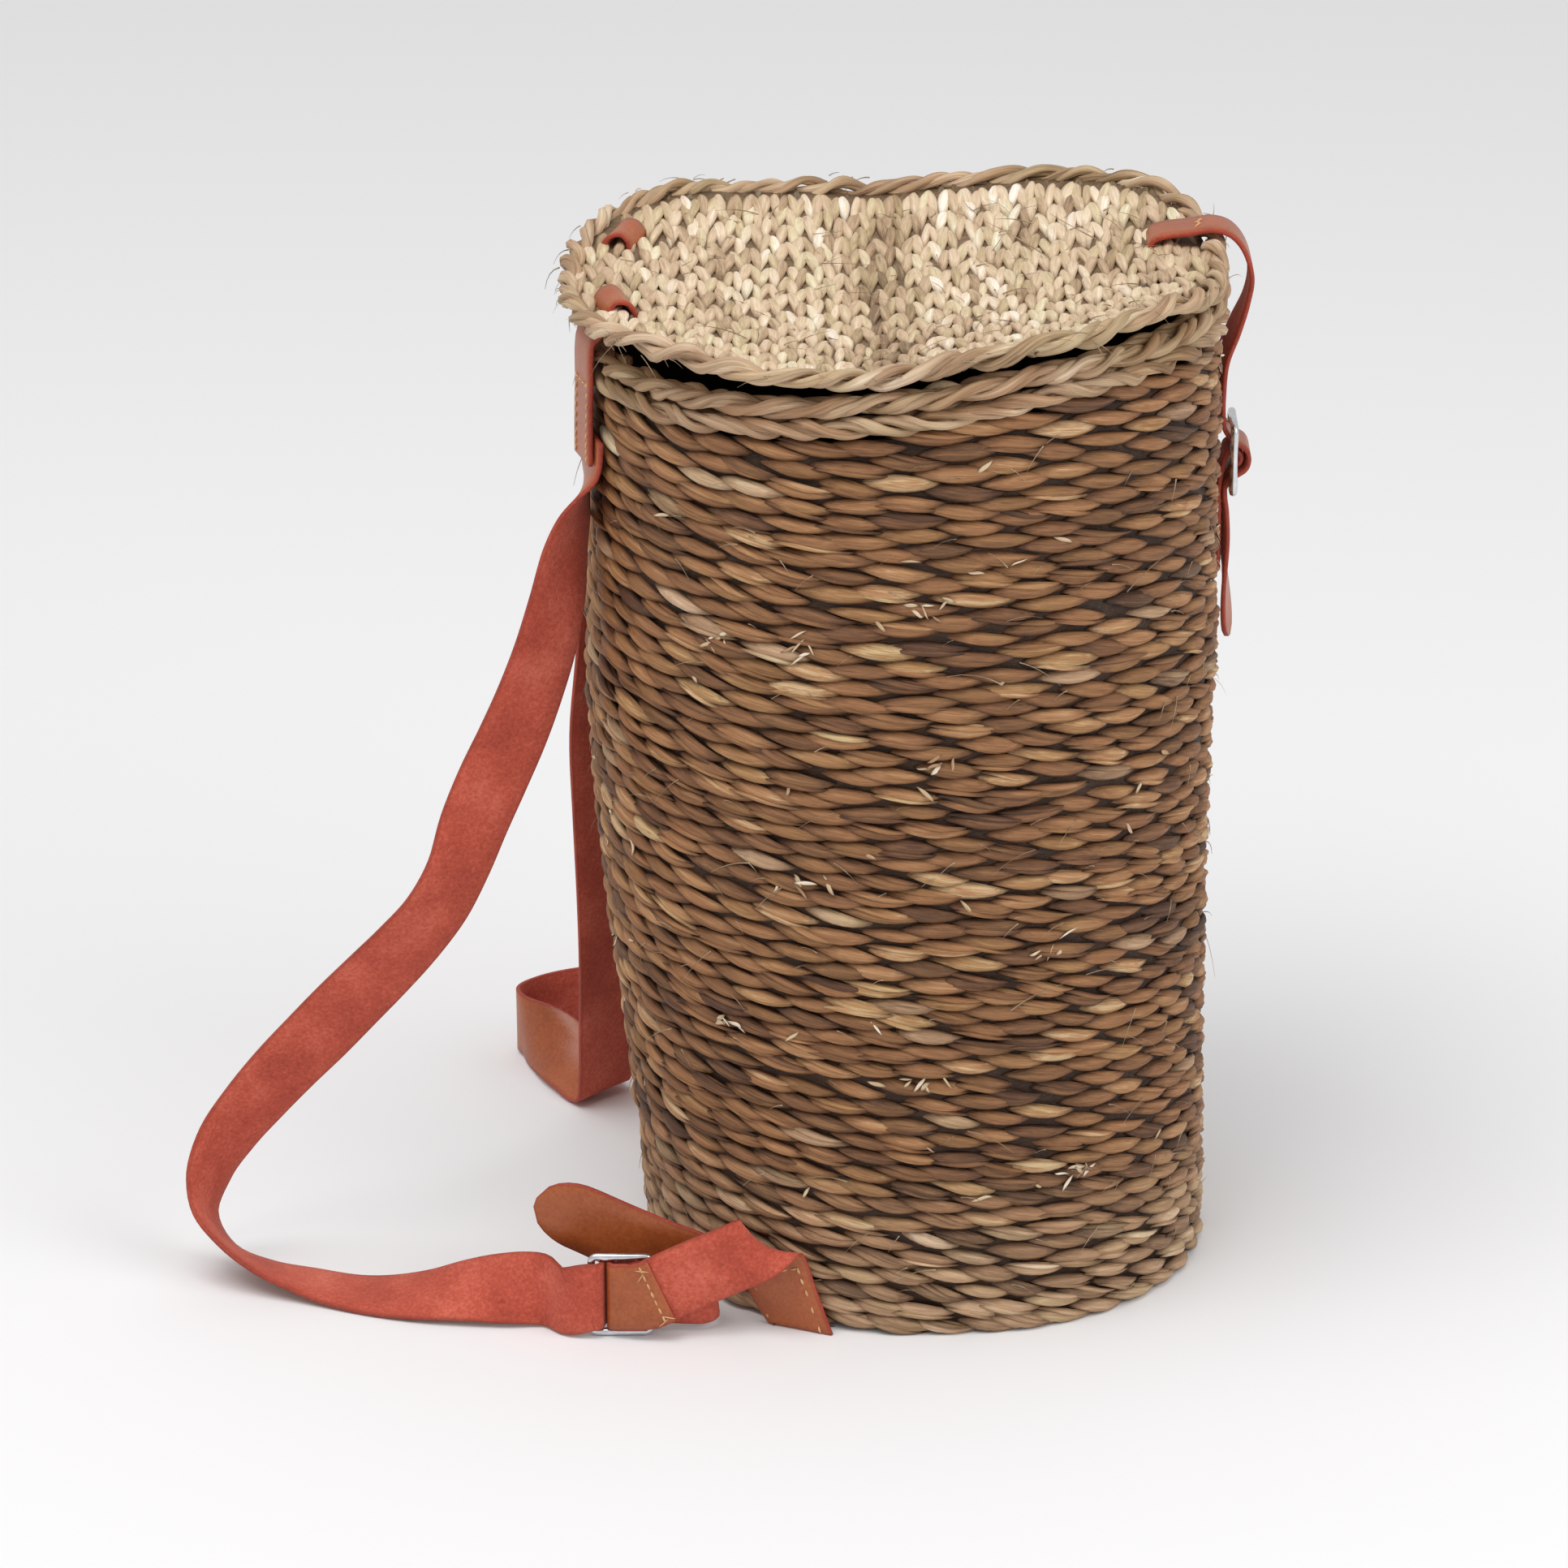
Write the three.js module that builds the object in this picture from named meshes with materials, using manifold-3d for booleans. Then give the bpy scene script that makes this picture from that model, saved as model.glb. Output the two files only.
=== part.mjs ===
import * as THREE from "three";
import Module from "manifold-3d";

const wasm = await Module();
wasm.setup();

// Driving sizes, in millimetres. +Z is up, +X is the front with the closing strap.
const BASE_D = 235;
const TOP_D = 258;
const BODY_H = 396;
const LEAN = 11.5;
const WALL = 6.5;
const FLOOR = 7;
const FOOT_ROUND = 5;
const SQUARENESS = 2.15;
const RIM_TALL = 15.5;
const RIM_THICK = 11;
const RIM_SLOPE = 0.07;
const LID_LONG = 272;
const LID_WIDE = 265;
const LID_THICK = 6.5;
const LID_DISH = 9;
const LID_LEVEL = 418;
const LID_SQUARENESS = 2.5;
const ROPE_D = 10;
const LEATHER = 2;
const SHOULDER_W = 30;
const HINGE_W = 22;
const CLOSING_W = 20;
const WIRE = 2.4;
const BUCKLE_LONG = 26;
const CLEAR = 0.4;
const AROUND = 56;

// Outline of the basket: height share, width share of the growth from base to top, lean share.
const OUTLINE = [
  { up: 0.0, wide: 0.0, lean: 0.0 },
  { up: 0.1, wide: 0.1, lean: 0.13 },
  { up: 0.19, wide: 0.26, lean: 0.34 },
  { up: 0.285, wide: 0.42, lean: 0.55 },
  { up: 0.38, wide: 0.63, lean: 0.76 },
  { up: 0.47, wide: 0.8, lean: 0.9 },
  { up: 0.56, wide: 0.92, lean: 0.98 },
  { up: 0.655, wide: 1.08, lean: 1.02 },
  { up: 0.745, wide: 1.04, lean: 1.01 },
  { up: 0.835, wide: 0.97, lean: 1.0 },
  { up: 0.92, wide: 1.0, lean: 1.0 },
  { up: 1.0, wide: 1.0, lean: 1.0 },
];

// Extra height of the rim along the bag at the -Y side, as a share of the rim's height.
const RIM_SWELL = [
  { along: -0.45, rise: 0.0 },
  { along: -0.14, rise: 0.1 },
  { along: 0.17, rise: 0.31 },
  { along: 0.43, rise: 0.53 },
  { along: 0.7, rise: 0.7 },
  { along: 0.95, rise: 0.7 },
];

// Height of the lid edge along the bag, and more of it at the -Y side, as shares of the rope thickness.
const LID_EDGE = [
  { along: -1.0, rise: 0.2, near: 0.0 },
  { along: -0.82, rise: 0.55, near: 0.0 },
  { along: -0.66, rise: 0.62, near: 0.0 },
  { along: -0.36, rise: 0.2, near: 0.0 },
  { along: -0.07, rise: 0.0, near: 0.25 },
  { along: 0.22, rise: 0.38, near: 0.65 },
  { along: 0.51, rise: 0.95, near: 0.8 },
  { along: 0.8, rise: 1.4, near: 1.2 },
  { along: 1.0, rise: 0.95, near: 1.4 },
];

// Value of a short table at a position, eased between its rows.
function lookUp(rows, key, value, at) {
  if (at <= rows[0][key]) return rows[0][value];
  for (let i = 1; i < rows.length; i++) {
    const a = rows[i - 1];
    const b = rows[i];
    if (at <= b[key]) {
      const t = (at - a[key]) / (b[key] - a[key]);
      const s = t * t * (3 - 2 * t);
      return a[value] + (b[value] - a[value]) * (0.5 * t + 0.5 * s);
    }
  }
  return rows[rows.length - 1][value];
}

// Point of a squarish round section: unit radius scaled to the two half sizes.
function sectionPoint(angle, halfX, halfY, power) {
  const c = Math.cos(angle);
  const s = Math.sin(angle);
  const r = Math.pow(Math.pow(Math.abs(c), power) + Math.pow(Math.abs(s), power), -1 / power);
  return [halfX * r * c, halfY * r * s];
}

// Nearness to the side at -Y, from 0 at the middle to 1 at the outer edge.
function nearness(y, half) {
  return Math.pow(Math.max(0, -y / half), 2);
}

// Height of the wall's top edge, which slopes along the bag and swells at one side.
function wallTop(x, y) {
  const swell = RIM_TALL * lookUp(RIM_SWELL, "along", "rise", x / (TOP_D / 2));
  return BODY_H + RIM_SLOPE * x + swell * nearness(y, TOP_D / 2);
}

// Outer face of the wall at a height share, moved inwards by inset.
function wallPoint(angle, up, inset) {
  const half = BASE_D / 2 + ((TOP_D - BASE_D) / 2) * lookUp(OUTLINE, "up", "wide", up) - inset;
  const narrow = 0.975 + 0.025 * up;
  const [x, y] = sectionPoint(angle, half, half * narrow, SQUARENESS);
  const px = x - LEAN * lookUp(OUTLINE, "up", "lean", up);
  return [px, y, up * wallTop(px, y)];
}

// Closed mesh from rings of equal length; open ends get a centre point.
function meshOfRings(rings, closed) {
  const n = rings[0].length;
  const position = rings.flat(2);
  const index = [];
  const turns = closed ? rings.length : rings.length - 1;
  for (let r = 0; r < turns; r++) {
    const a = r * n;
    const b = ((r + 1) % rings.length) * n;
    for (let i = 0; i < n; i++) {
      const j = (i + 1) % n;
      index.push(a + i, a + j, b + j, a + i, b + j, b + i);
    }
  }
  if (!closed) {
    const middle = (ring) => [0, 1, 2].map((k) => ring.reduce((sum, p) => sum + p[k], 0) / n);
    const first = position.length / 3;
    position.push(...middle(rings[0]), ...middle(rings[rings.length - 1]));
    const last = (rings.length - 1) * n;
    for (let i = 0; i < n; i++) {
      const j = (i + 1) % n;
      index.push(first, j, i, first + 1, last + i, last + j);
    }
  }
  const geometry = new THREE.BufferGeometry();
  geometry.setAttribute("position", new THREE.Float32BufferAttribute(position, 3));
  geometry.setIndex(index);
  return geometry;
}

function ringAround(count, point) {
  return Array.from({ length: count }, (_, i) => point((i / count) * 2 * Math.PI));
}

function bodyGeometry() {
  const rings = [];
  const foot = FOOT_ROUND / BODY_H;
  const round = [
    { up: 0, inset: 1.0 },
    { up: 0.3, inset: 0.35 },
    { up: 1, inset: 0 },
  ];
  for (const row of round) {
    rings.push(ringAround(AROUND, (a) => wallPoint(a, row.up * foot, row.inset * FOOT_ROUND)));
  }
  for (const row of OUTLINE.slice(1)) rings.push(ringAround(AROUND, (a) => wallPoint(a, row.up, 0)));
  for (const up of [1.0, 0.8, 0.56, 0.3, FLOOR / BODY_H]) {
    rings.push(ringAround(AROUND, (a) => wallPoint(a, up, WALL)));
  }
  rings[0].forEach((p) => (p[2] = 0));
  return meshOfRings(rings, false);
}

// Ring of a closed section that runs round the basket or the lid.
function bandGeometry(section, frameAt) {
  const rings = Array.from({ length: AROUND }, (_, i) => {
    const at = frameAt((i / AROUND) * 2 * Math.PI);
    return section.toReversed().map(([out, up]) => [
      at.point[0] + at.out[0] * out,
      at.point[1] + at.out[1] * out,
      at.point[2] + up,
    ]);
  });
  return meshOfRings(rings, true);
}

function outwardAt(angle, halfX, halfY, power) {
  const [x, y] = sectionPoint(angle, halfX, halfY, power);
  const gx = (Math.sign(x) * Math.pow(Math.abs(x) / halfX, power - 1)) / halfX;
  const gy = (Math.sign(y) * Math.pow(Math.abs(y) / halfY, power - 1)) / halfY;
  const g = Math.hypot(gx, gy);
  return [gx / g, gy / g];
}

function roundedSection(width, height) {
  const w = width / 2;
  const h = height / 2;
  return [
    [w, -0.45 * h],
    [w, 0.45 * h],
    [0.5 * w, h],
    [-0.5 * w, h],
    [-w, 0.45 * h],
    [-w, -0.45 * h],
    [-0.5 * w, -h],
    [0.5 * w, -h],
  ];
}

function rimGeometry() {
  const half = TOP_D / 2;
  return bandGeometry(roundedSection(RIM_THICK, RIM_TALL), (a) => {
    const out = outwardAt(a, half, half, SQUARENESS);
    const p = wallPoint(a, 1, WALL / 2);
    return { out, point: [p[0], p[1], wallTop(p[0], p[1]) + 2.4 * CLEAR + RIM_TALL / 2] };
  });
}

const LID_X = -LEAN - 4.5;

function lidEdgeHeight(x, y) {
  const along = (x - LID_X) / (LID_LONG / 2);
  const rise = lookUp(LID_EDGE, "along", "rise", along);
  const near = lookUp(LID_EDGE, "along", "near", along);
  return LID_LEVEL + ROPE_D * (rise + near * nearness(y, LID_WIDE / 2));
}

// Middle height of the lid mat at a point, hollowed towards its centre.
function lidHeight(x, y) {
  const u = Math.abs(x - LID_X) / (LID_LONG / 2);
  const v = Math.abs(y) / (LID_WIDE / 2);
  const r2 = Math.min(1, u * u + v * v);
  return lidEdgeHeight(x, y) - 0.2 * ROPE_D - LID_DISH * (1 - r2);
}

function lidRopeGeometry() {
  const halfX = (LID_LONG - ROPE_D) / 2;
  const halfY = (LID_WIDE - ROPE_D) / 2;
  const section = Array.from({ length: 8 }, (_, i) => {
    const a = ((i + 0.5) / 8) * 2 * Math.PI;
    return [(Math.cos(a) * ROPE_D) / 2, (Math.sin(a) * ROPE_D) / 2];
  });
  return bandGeometry(section, (a) => {
    const [x, y] = sectionPoint(a, halfX, halfY, LID_SQUARENESS);
    const out = outwardAt(a, halfX, halfY, LID_SQUARENESS);
    return { out, point: [LID_X + x, y, lidEdgeHeight(LID_X + x, y)] };
  });
}

function lidMatGeometry() {
  const halfX = LID_LONG / 2 - ROPE_D - 1;
  const halfY = LID_WIDE / 2 - ROPE_D - 1;
  const shares = [0.14, 0.34, 0.52, 0.68, 0.82, 0.92, 1.0];
  const layer = (side, share) =>
    ringAround(AROUND, (a) => {
      const [x, y] = sectionPoint(a, halfX * share, halfY * share, LID_SQUARENESS);
      return [LID_X + x, y, lidHeight(LID_X + x, y) + (side * LID_THICK) / 2];
    });
  const rings = shares.map((s) => layer(-1, s));
  rings.push(...shares.map((s) => layer(1, s)).reverse());
  return meshOfRings(rings, false);
}

// Strap as a rectangle swept along rows of centre and across-strap direction.
function ribbonGeometry(rows, width, steps, tip, thickness = LEATHER) {
  const centre = new THREE.CatmullRomCurve3(
    rows.map((r) => new THREE.Vector3(r.x, r.y, r.z)),
    false,
    "centripetal",
  );
  const across = new THREE.CatmullRomCurve3(
    rows.map((r) => new THREE.Vector3(r.wx, r.wy, r.wz).normalize()),
    false,
    "catmullrom",
    0.5,
  );
  const rings = [];
  for (let i = 0; i <= steps; i++) {
    const t = i / steps;
    const c = centre.getPoint(t);
    const along = centre.getTangent(t);
    const w = across.getPoint(t);
    w.addScaledVector(along, -w.dot(along)).normalize();
    const n = new THREE.Vector3().crossVectors(along, w);
    const left = tip ? tip(t) : 1;
    const half = (width / 2) * left;
    const thick = thickness / 2;
    rings.push(
      [
        [-half, -thick],
        [half, -thick],
        [half, thick],
        [-half, thick],
      ].map(([a, b]) => c.clone().addScaledVector(w, a).addScaledVector(n, b).toArray()),
    );
  }
  return meshOfRings(rings, false);
}

// Width share along a strap whose last part is rounded off over reach.
function roundedTip(reach) {
  return (t) => {
    const d = (t - (1 - reach)) / reach;
    return d <= 0 ? 1 : Math.max(0.3, Math.sqrt(Math.max(0, 1 - d * d * 0.92)));
  };
}

// Shoulder strap nearer to the right-hand side of a wearer, from the back wall to the slide buckle.
// x and y are shares of BASE_D, z a share of BODY_H; wx, wy, wz point across the strap.
const NEAR_RUN = [
  { x: -0.5845, y: -0.179, z: 0.93, wx: -0.29, wy: 0.96, wz: 0 },
  { x: -0.5855, y: -0.179, z: 0.905, wx: -0.26, wy: 0.97, wz: 0 },
  { x: -0.5895, y: -0.18, z: 0.887, wx: -0.16, wy: 0.98, wz: -0.04 },
  { x: -0.601, y: -0.184, z: 0.866, wx: 0.12, wy: 0.98, wz: -0.16 },
  { x: -0.616, y: -0.191, z: 0.84, wx: 0.38, wy: 0.89, wz: -0.26 },
  { x: -0.632, y: -0.203, z: 0.8056, wx: 0.56, wy: 0.79, wz: -0.29 },
  { x: -0.646, y: -0.2187, z: 0.7568, wx: 0.71, wy: 0.64, wz: -0.31 },
  { x: -0.6664, y: -0.234, z: 0.7086, wx: 0.78, wy: 0.53, wz: -0.33 },
  { x: -0.6936, y: -0.243, z: 0.6611, wx: 0.83, wy: 0.44, wz: -0.34 },
  { x: -0.7251, y: -0.2477, z: 0.6141, wx: 0.87, wy: 0.33, wz: -0.37 },
  { x: -0.76, y: -0.2515, z: 0.5679, wx: 0.88, wy: 0.25, wz: -0.39 },
  { x: -0.7928, y: -0.2587, z: 0.5217, wx: 0.86, wy: 0.31, wz: -0.41 },
  { x: -0.8209, y: -0.2681, z: 0.4742, wx: 0.78, wy: 0.47, wz: -0.42 },
  { x: -0.86, y: -0.2698, z: 0.4288, wx: 0.78, wy: 0.43, wz: -0.45 },
  { x: -0.9115, y: -0.2591, z: 0.3871, wx: 0.79, wy: 0.32, wz: -0.52 },
  { x: -0.9672, y: -0.243, z: 0.3472, wx: 0.79, wy: 0.23, wz: -0.57 },
  { x: -1.0243, y: -0.226, z: 0.3076, wx: 0.79, wy: 0.18, wz: -0.59 },
  { x: -1.0813, y: -0.2106, z: 0.2674, wx: 0.79, wy: 0.18, wz: -0.59 },
  { x: -1.1387, y: -0.1966, z: 0.2278, wx: 0.78, wy: 0.25, wz: -0.57 },
  { x: -1.1936, y: -0.1868, z: 0.1871, wx: 0.77, wy: 0.36, wz: -0.53 },
  { x: -1.2438, y: -0.1838, z: 0.1462, wx: 0.72, wy: 0.51, wz: -0.47 },
  { x: -1.2783, y: -0.1945, z: 0.1048, wx: 0.55, wy: 0.74, wz: -0.39 },
  { x: -1.2851, y: -0.22, z: 0.0662, wx: 0.24, wy: 0.88, wz: -0.41 },
  { x: -1.246, y: -0.2506, z: 0.037, wx: 0.14, wy: 0.88, wz: -0.44 },
  { x: -1.1783, y: -0.2762, z: 0.0185, wx: 0.21, wy: 0.93, wz: -0.3 },
  { x: -1.1009, y: -0.2991, z: 0.009, wx: 0.27, wy: 0.95, wz: -0.12 },
  { x: -1.0281, y: -0.3272, z: 0.0055, wx: 0.31, wy: 0.95, wz: 0.0 },
  { x: -0.9583, y: -0.3562, z: 0.0095, wx: 0.29, wy: 0.95, wz: 0.14 },
  { x: -0.8881, y: -0.3804, z: 0.0175, wx: 0.25, wy: 0.92, wz: 0.31 },
  { x: -0.8183, y: -0.3979, z: 0.0275, wx: 0.18, wy: 0.83, wz: 0.53 },
  { x: -0.7481, y: -0.4166, z: 0.035, wx: 0.1, wy: 0.63, wz: 0.77 },
  { x: -0.6791, y: -0.437, z: 0.0395, wx: 0.01, wy: 0.28, wz: 0.96 },
];

// Shoulder strap on the far side: down the back, a quarter turn on the floor, a loop, then the buckle.
const FAR_RUN = [
  { x: -0.5768, y: 0.196, z: 0.93, wx: 0.3, wy: 0.95, wz: 0 },
  { x: -0.5774, y: 0.196, z: 0.895, wx: 0.3, wy: 0.95, wz: 0 },
  { x: -0.581, y: 0.2, z: 0.84, wx: 0.32, wy: 0.95, wz: 0 },
  { x: -0.582, y: 0.213, z: 0.77, wx: 0.38, wy: 0.92, wz: 0 },
  { x: -0.584, y: 0.232, z: 0.69, wx: 0.46, wy: 0.88, wz: 0 },
  { x: -0.588, y: 0.262, z: 0.6, wx: 0.6, wy: 0.8, wz: 0 },
  { x: -0.596, y: 0.298, z: 0.5, wx: 0.7, wy: 0.71, wz: 0 },
  { x: -0.591, y: 0.335, z: 0.4, wx: 0.74, wy: 0.67, wz: 0 },
  { x: -0.586, y: 0.372, z: 0.3, wx: 0.75, wy: 0.66, wz: 0 },
  { x: -0.584, y: 0.412, z: 0.2, wx: 0.75, wy: 0.66, wz: 0 },
  { x: -0.587, y: 0.456, z: 0.11, wx: 0.75, wy: 0.66, wz: 0 },
  { x: -0.59, y: 0.49, z: 0.045, wx: 0.74, wy: 0.67, wz: 0.02 },
  { x: -0.596, y: 0.512, z: 0.0135, wx: 0.74, wy: 0.67, wz: 0.04 },
  { x: -0.612, y: 0.535, z: 0.0092, wx: 0.72, wy: 0.66, wz: 0.12 },
  { x: -0.645, y: 0.58, z: 0.022, wx: 0.62, wy: 0.56, wz: 0.42 },
  { x: -0.69, y: 0.635, z: 0.0345, wx: 0.4, wy: 0.4, wz: 0.8 },
  { x: -0.744, y: 0.69, z: 0.0415, wx: 0, wy: 0, wz: 1 },
  { x: -0.76, y: 0.74, z: 0.0415, wx: 0, wy: 0, wz: 1 },
  { x: -0.724, y: 0.785, z: 0.0415, wx: 0, wy: 0, wz: 1 },
  { x: -0.66, y: 0.822, z: 0.0415, wx: 0, wy: 0, wz: 1 },
  { x: -0.59, y: 0.838, z: 0.0415, wx: 0, wy: 0, wz: 1 },
  { x: -0.525, y: 0.82, z: 0.043, wx: 0, wy: 0, wz: 1 },
  { x: -0.475, y: 0.775, z: 0.046, wx: 0, wy: 0, wz: 1 },
];

// Slide buckle: where the near one stands, and how the far one is turned about its stitched tab.
const BUCKLE_AT = { x: -0.54, y: -0.484, z: 0.0475 };
const TAB_AT = { x: -0.2426, y: -0.4477 };
const FAR_TURN = -50;
const BAR_AT = -2;
const FRAME_TALL = SHOULDER_W + 1.2 + 2 * WIRE;

// Rows near a slide buckle, in multiples of the leather thickness from the buckle centre:
// u along the strap, v outwards, z up; turn is the far side's share of the turn.
const LONG_THROUGH = [
  { u: -11.5, v: 0.2, z: -1.4, wu: 0, wv: 0, wz: 1 },
  { u: -6.5, v: 1.6, z: 0, wu: 0, wv: 0, wz: 1 },
  { u: -5.15, v: 1.55, z: 0, wu: 0, wv: 0, wz: 1 },
  { u: -4.15, v: 0.7, z: 0, wu: 0, wv: 0, wz: 1 },
  { u: -3.8, v: -0.6, z: 0, wu: 0, wv: 0, wz: 1 },
  { u: -3.3, v: -1.8, z: 0, wu: 0, wv: 0, wz: 1 },
  { u: -2.0, v: -2.7, z: 0, wu: 0, wv: 0, wz: 1 },
  { u: 0.0, v: -2.95, z: 0, wu: 0, wv: 0, wz: 1 },
  { u: 7.0, v: -2.9, z: -0.2, wu: 0, wv: 0, wz: 1 },
  { u: 13.0, v: -2.8, z: -0.5, wu: 0, wv: 0, wz: 1 },
  { u: 16.8, v: -3.0, z: -0.6, wu: 0, wv: 0, wz: 1 },
  { u: 18.7, v: -4.0, z: -0.4, wu: 0.03, wv: 0, wz: 1 },
  { u: 19.3, v: -5.6, z: 0.2, wu: 0.08, wv: 0, wz: 1 },
  { u: 18.0, v: -7.0, z: 1.2, wu: 0.18, wv: 0, wz: 0.98 },
  { u: 14.8, v: -7.8, z: 2.8, wu: 0.3, wv: 0, wz: 0.95 },
  { u: 8.0, v: -8.8, z: 5.2, wu: 0.33, wv: 0.03, wz: 0.94 },
  { u: -1.5, v: -9.6, z: 9.3, wu: 0.4, wv: 0.06, wz: 0.92 },
  { u: -9.5, v: -10.4, z: 12.8, wu: 0.42, wv: 0.08, wz: 0.9 },
  { u: -17.9, v: -11.6, z: 15.4, wu: 0.4, wv: 0.1, wz: 0.9 },
];

const LOWER_RUN = [
  { u: 8.3, v: 3.0, z: 2.3, wu: -0.27, wv: 0, wz: 0.96 },
  { u: 5.8, v: 2.85, z: 1.2, wu: -0.18, wv: 0, wz: 0.98 },
  { u: 3.0, v: 2.4, z: 0.4, wu: -0.08, wv: 0, wz: 1 },
  { u: 0.6, v: 1.65, z: 0.1, wu: 0, wv: 0, wz: 1 },
  { u: -1.0, v: 1.45, z: 0, wu: 0, wv: 0, wz: 1 },
  { u: -2.05, v: 1.05, z: 0, wu: 0, wv: 0, wz: 1 },
  { u: -2.5, v: 0, z: 0, wu: 0, wv: 0, wz: 1 },
  { u: -2.05, v: -1.05, z: 0, wu: 0, wv: 0, wz: 1 },
  { u: -1.0, v: -1.45, z: 0, wu: 0, wv: 0, wz: 1 },
  { u: 0.8, v: -1.15, z: 0, wu: 0, wv: 0, wz: 1 },
  { u: 3.0, v: 0.35, z: 0, wu: 0, wv: 0, wz: 1 },
  { u: 5.6, v: 1.62, z: 0.5, wu: -0.12, wv: 0, wz: 0.99 },
  { u: 8.5, v: 1.65, z: 2.1, wu: -0.28, wv: 0, wz: 0.96 },
  { u: 15.0, v: 1.45, z: 5.2, wu: -0.42, wv: 0, wz: 0.9 },
  { u: 21.5, v: 1.35, z: 8.1, wu: -0.42, wv: 0, wz: 0.9, turn: 0.75 },
  { u: 27.2, v: 0.4, z: 10.2, wu: -0.42, wv: 0, wz: 0.9, turn: 0.42 },
  { u: 28.7, v: -0.6, z: 10.7, wu: -0.54, wv: -0.53, wz: 0.65, turn: 0.32 },
  { u: 29.8, v: -2.0, z: 10.0, wu: -0.84, wv: -0.53, wz: 0.11, turn: 0.2 },
  { u: 30.2, v: -2.65, z: 8.4, wu: -0.98, wv: -0.1, wz: -0.16, turn: 0.1 },
  { u: 31.6, v: -3.0, z: 3.4, wu: -0.95, wv: -0.28, wz: -0.2, turn: 0.02 },
  { u: 33.9, v: -3.5, z: -2.5, wu: -0.87, wv: -0.42, wz: -0.27, turn: 0 },
  { u: 36.9, v: -2.8, z: -12.0, wu: -0.9, wv: -0.38, wz: -0.25, turn: 0 },
];

// Closing strap at the front: from the lid slit over the edge, through the buckle to the free tail.
// x and z in leather thicknesses from the front of the rim; wx and wy point across the strap.
const CLOSING_RUN = [
  { x: -19.5, z: -1.2, wx: 0, wy: 1 },
  { x: -17.0, z: -0.9, wx: 0, wy: 1 },
  { x: -15.4, z: 0.6, wx: 0, wy: 1 },
  { x: -14.9, z: 3.2, wx: 0, wy: 1 },
  { x: -13.9, z: 5.3, wx: 0, wy: 1 },
  { x: -11.4, z: 6.2, wx: 0, wy: 1 },
  { x: -6.5, z: 6.8, wx: 0, wy: 1 },
  { x: -2.0, z: 7.5, wx: 0, wy: 1 },
  { x: 1.6, z: 6.5, wx: 0, wy: 1 },
  { x: 4.4, z: 3.4, wx: 0, wy: 1 },
  { x: 6.2, z: -2.5, wx: 0, wy: 1 },
  { x: 5.5, z: -8.0, wx: 0, wy: 1 },
  { x: 3.2, z: -14.5, wx: -0.12, wy: 1 },
  { x: 1.0, z: -21.0, wx: -0.12, wy: 1 },
  { x: 0.45, z: -28.0, wx: -0.12, wy: 1 },
  { x: 0.55, z: -31.8, wx: -0.1, wy: 1 },
  { x: 1.2, z: -35.2, wx: -0.05, wy: 1 },
  { x: 3.4, z: -37.9, wx: 0, wy: 1 },
  { x: 5.8, z: -39.6, wx: 0, wy: 1 },
  { x: 6.5, z: -41.6, wx: 0, wy: 1 },
  { x: 5.9, z: -43.8, wx: 0, wy: 1 },
  { x: 3.4, z: -45.7, wx: 0, wy: 1 },
  { x: 1.8, z: -47.6, wx: 0, wy: 1 },
  { x: 1.45, z: -49.6, wx: -0.06, wy: 1 },
  { x: 1.65, z: -53.0, wx: -0.11, wy: 1 },
  { x: 1.9, z: -60.0, wx: -0.12, wy: 0.98 },
  { x: 2.4, z: -70.0, wx: 0.1, wy: 0.97 },
  { x: 3.2, z: -82.0, wx: 0.35, wy: 0.93 },
];

// Folded loop that carries the closing buckle: one end stitched to the wall, the other folded back on it.
const LOOP_RUN = [
  { x: 0.1, z: -66.0, wx: -0.12 },
  { x: 0.1, z: -60.0, wx: -0.12 },
  { x: 0.1, z: -53.0, wx: -0.12 },
  { x: 0.2, z: -48.6, wx: -0.07 },
  { x: 0.75, z: -45.0, wx: -0.03 },
  { x: 1.6, z: -41.9, wx: 0 },
  { x: 2.15, z: -40.5, wx: 0 },
  { x: 3.35, z: -40.05, wx: 0 },
  { x: 4.45, z: -40.5, wx: 0 },
  { x: 4.9, z: -41.6, wx: 0 },
  { x: 4.5, z: -42.7, wx: 0 },
  { x: 3.35, z: -43.35, wx: 0 },
  { x: 2.55, z: -44.6, wx: 0 },
];

// Hinge strap at the back: from its stitched end up the wall, through two lid slits, to its inner end.
// x and z in leather thicknesses from the wall and from the top of the rim at the back.
const HINGE_RUN = [
  { x: -2.8, z: -22.5 },
  { x: -2.8, z: -18.0 },
  { x: -2.7, z: -12.0 },
  { x: -2.55, z: -6.0 },
  { x: -2.5, z: 0.0 },
  { x: -2.0, z: 3.2 },
  { x: -0.4, z: 5.2 },
  { x: 0.7, z: 7.2 },
  { x: 1.2, z: 9.2 },
  { x: 2.1, z: 10.9 },
  { x: 3.8, z: 11.7 },
  { x: 5.5, z: 11.1 },
  { x: 6.6, z: 9.3 },
  { x: 7.1, z: 6.6 },
  { x: 8.2, z: 4.4 },
  { x: 10.4, z: 3.4 },
];

function shoulderRows(run) {
  return run.map((r) => ({ ...r, x: r.x * BASE_D, y: r.y * BASE_D, z: r.z * BODY_H }));
}

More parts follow.
